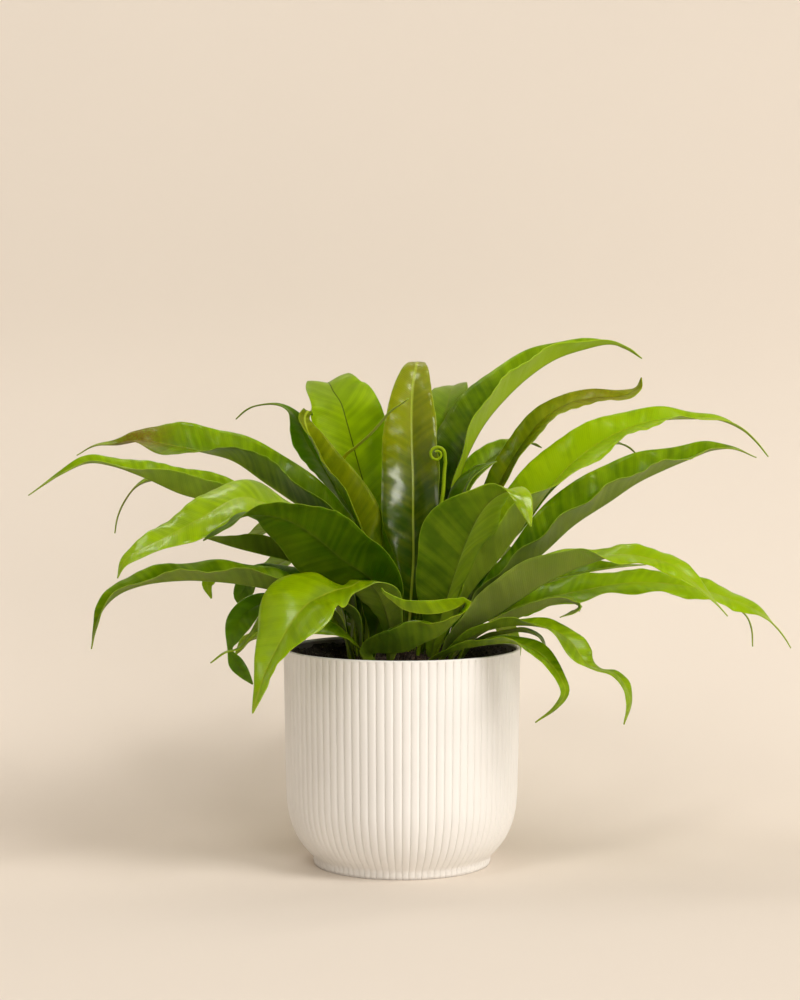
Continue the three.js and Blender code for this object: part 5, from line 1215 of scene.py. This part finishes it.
def add_camera(scene, settings):
    """The camera in front of the plant, tilted a little down."""
    camera = bpy.data.objects.new("Camera", bpy.data.cameras.new("Camera"))
    camera.data.lens, camera.data.sensor_width = settings.lens, SENSOR_WIDTH
    camera.location = CAMERA_PLACE
    camera.rotation_euler = (math.radians(CAMERA_TILT), 0, 0)
    scene.collection.objects.link(camera)
    scene.camera = camera


# Operators

class FERN_OT_pot(bpy.types.Operator):
    """Build the fluted pot"""
    bl_idname = "fern.pot"
    bl_label = "Pot"

    def execute(self, context):
        settings = context.scene.fern_pot
        make_piece("fluted_pot", pot_rings(settings), pot_material(settings), ["pot"])
        return {"FINISHED"}


class FERN_OT_soil(bpy.types.Operator):
    """Build the soil with its loose crumbs"""
    bl_idname = "fern.soil"
    bl_label = "Soil"

    def execute(self, context):
        settings = context.scene.fern_soil
        peat = earth_material("Dark peat", *PEAT, 900.0)
        make_piece("peat_bed", soil_rings(settings), peat, ["soil"], joined=True)
        make_piece("soil_crumbs", crumb_rings(settings), peat)
        return {"FINISHED"}


class FERN_OT_crown(bpy.types.Operator):
    """Build the crown from which the stalks grow, with its brown scales"""
    bl_idname = "fern.crown"
    bl_label = "Crown"

    def execute(self, context):
        settings = context.scene.fern_soil
        fibre = earth_material("Brown fibre", *FIBRE, 600.0)
        make_piece("crown_mound", crown_rings(settings), fibre, ["crown"])
        make_piece("crown_scales", scale_rings(settings), fibre)
        return {"FINISHED"}


class FERN_OT_fronds(bpy.types.Operator):
    """Build the fronds seen from the front"""
    bl_idname = "fern.fronds"
    bl_label = "Front fronds"

    def execute(self, context):
        for name, foot, heading, wave, slot, blade in FRONDS:
            stations = [*stalk_stations(*foot, 1), *blade]
            make_frond(name, heading, wave, slot, stations, context.scene.fern_fronds)
        return {"FINISHED"}


class FERN_OT_back_fronds(bpy.types.Operator):
    """Build the fronds at the back, every third one in the darker finish that is partly painted shade"""
    bl_idname = "fern.back_fronds"
    bl_label = "Back fronds"

    def execute(self, context):
        for i, row in enumerate(BACK):
            heading, phase = row[2], row[7]
            slot = "deep_leaf" if i % 3 == 1 else "leaf"
            make_frond("frond_back_%02d" % (i + 1), heading, (*BACK_WAVE, phase), slot, back_stations(*row),
                       context.scene.fern_fronds)
        return {"FINISHED"}


class FERN_OT_crozier(bpy.types.Operator):
    """Build the young coiled frond"""
    bl_idname = "fern.crozier"
    bl_label = "Crozier"

    def execute(self, context):
        rings, extra = crozier_rings()
        material = slot_material("young_leaf", context.scene.fern_fronds)
        make_piece("coiled_crozier", rings, material, ["crozier"], extra=extra)
        return {"FINISHED"}


class FERN_OT_stage(bpy.types.Operator):
    """Make the floor, the lights and the camera"""
    bl_idname = "fern.stage"
    bl_label = "Stage"

    def execute(self, context):
        scene, settings = context.scene, context.scene.fern_stage
        sweep_pieces(settings)
        world_light(scene, settings)
        for name, power, place, size, colour in LIGHTS:
            area_light(name, place, size, getattr(settings, power), colour)
        add_camera(scene, settings)
        scene.view_settings.view_transform = "Standard"
        return {"FINISHED"}


PANEL_ROWS = [
    ("Pot", "fern_pot", ["rib_depth", "pot_colour"], ["fern.pot"]),
    ("Soil and crown", "fern_soil", ["soil_roughness", "seed", "crumbs", "fibres"],
     ["fern.soil", "fern.crown"]),
    ("Fronds", "fern_fronds", ["row_length", "bow", "leaf_deep", "leaf_light"],
     ["fern.fronds", "fern.back_fronds", "fern.crozier"]),
    ("Stage", "fern_stage", ["sweep_radius", "floor_colour", "backdrop", *(row[1] for row in LIGHTS),
     "fill", "lens"], ["fern.stage"])]
GROUPS = {"fern_pot": FernPotSettings, "fern_soil": FernSoilSettings,
          "fern_fronds": FernFrondSettings, "fern_stage": FernStageSettings}
OPERATORS = [FERN_OT_stage, FERN_OT_pot, FERN_OT_soil, FERN_OT_crown, FERN_OT_fronds,
             FERN_OT_back_fronds, FERN_OT_crozier]


class FERN_PT_panel(bpy.types.Panel):
    """Panel that lists the pieces of the fern"""
    bl_idname = "FERN_PT_panel"
    bl_label = "Potted Fern"
    bl_space_type = "VIEW_3D"
    bl_region_type = "UI"
    bl_category = "Fern"

    def draw(self, context):
        for label, group, fields, operators in PANEL_ROWS:
            box = self.layout.box()
            box.label(text=label)
            for field in fields:
                box.prop(getattr(context.scene, group), field)
            for operator in operators:
                box.operator(operator)


def register():
    """Adds the settings, operators and panel."""
    for name, group in GROUPS.items():
        bpy.utils.register_class(group)
        setattr(bpy.types.Scene, name, PointerProperty(type=group))
    for operator in OPERATORS:
        bpy.utils.register_class(operator)
    bpy.utils.register_class(FERN_PT_panel)


def unregister():
    """Takes them away again."""
    bpy.utils.unregister_class(FERN_PT_panel)
    for operator in reversed(OPERATORS):
        bpy.utils.unregister_class(operator)
    for name, group in GROUPS.items():
        delattr(bpy.types.Scene, name)
        bpy.utils.unregister_class(group)


def main():
    """Builds every piece in order."""
    register()
    bpy.ops.fern.stage()
    bpy.ops.fern.pot()
    bpy.ops.fern.soil()
    bpy.ops.fern.crown()
    bpy.ops.fern.fronds()
    bpy.ops.fern.back_fronds()
    bpy.ops.fern.crozier()
    bpy.context.view_layer.update()


if __name__ == "__main__":
    main()
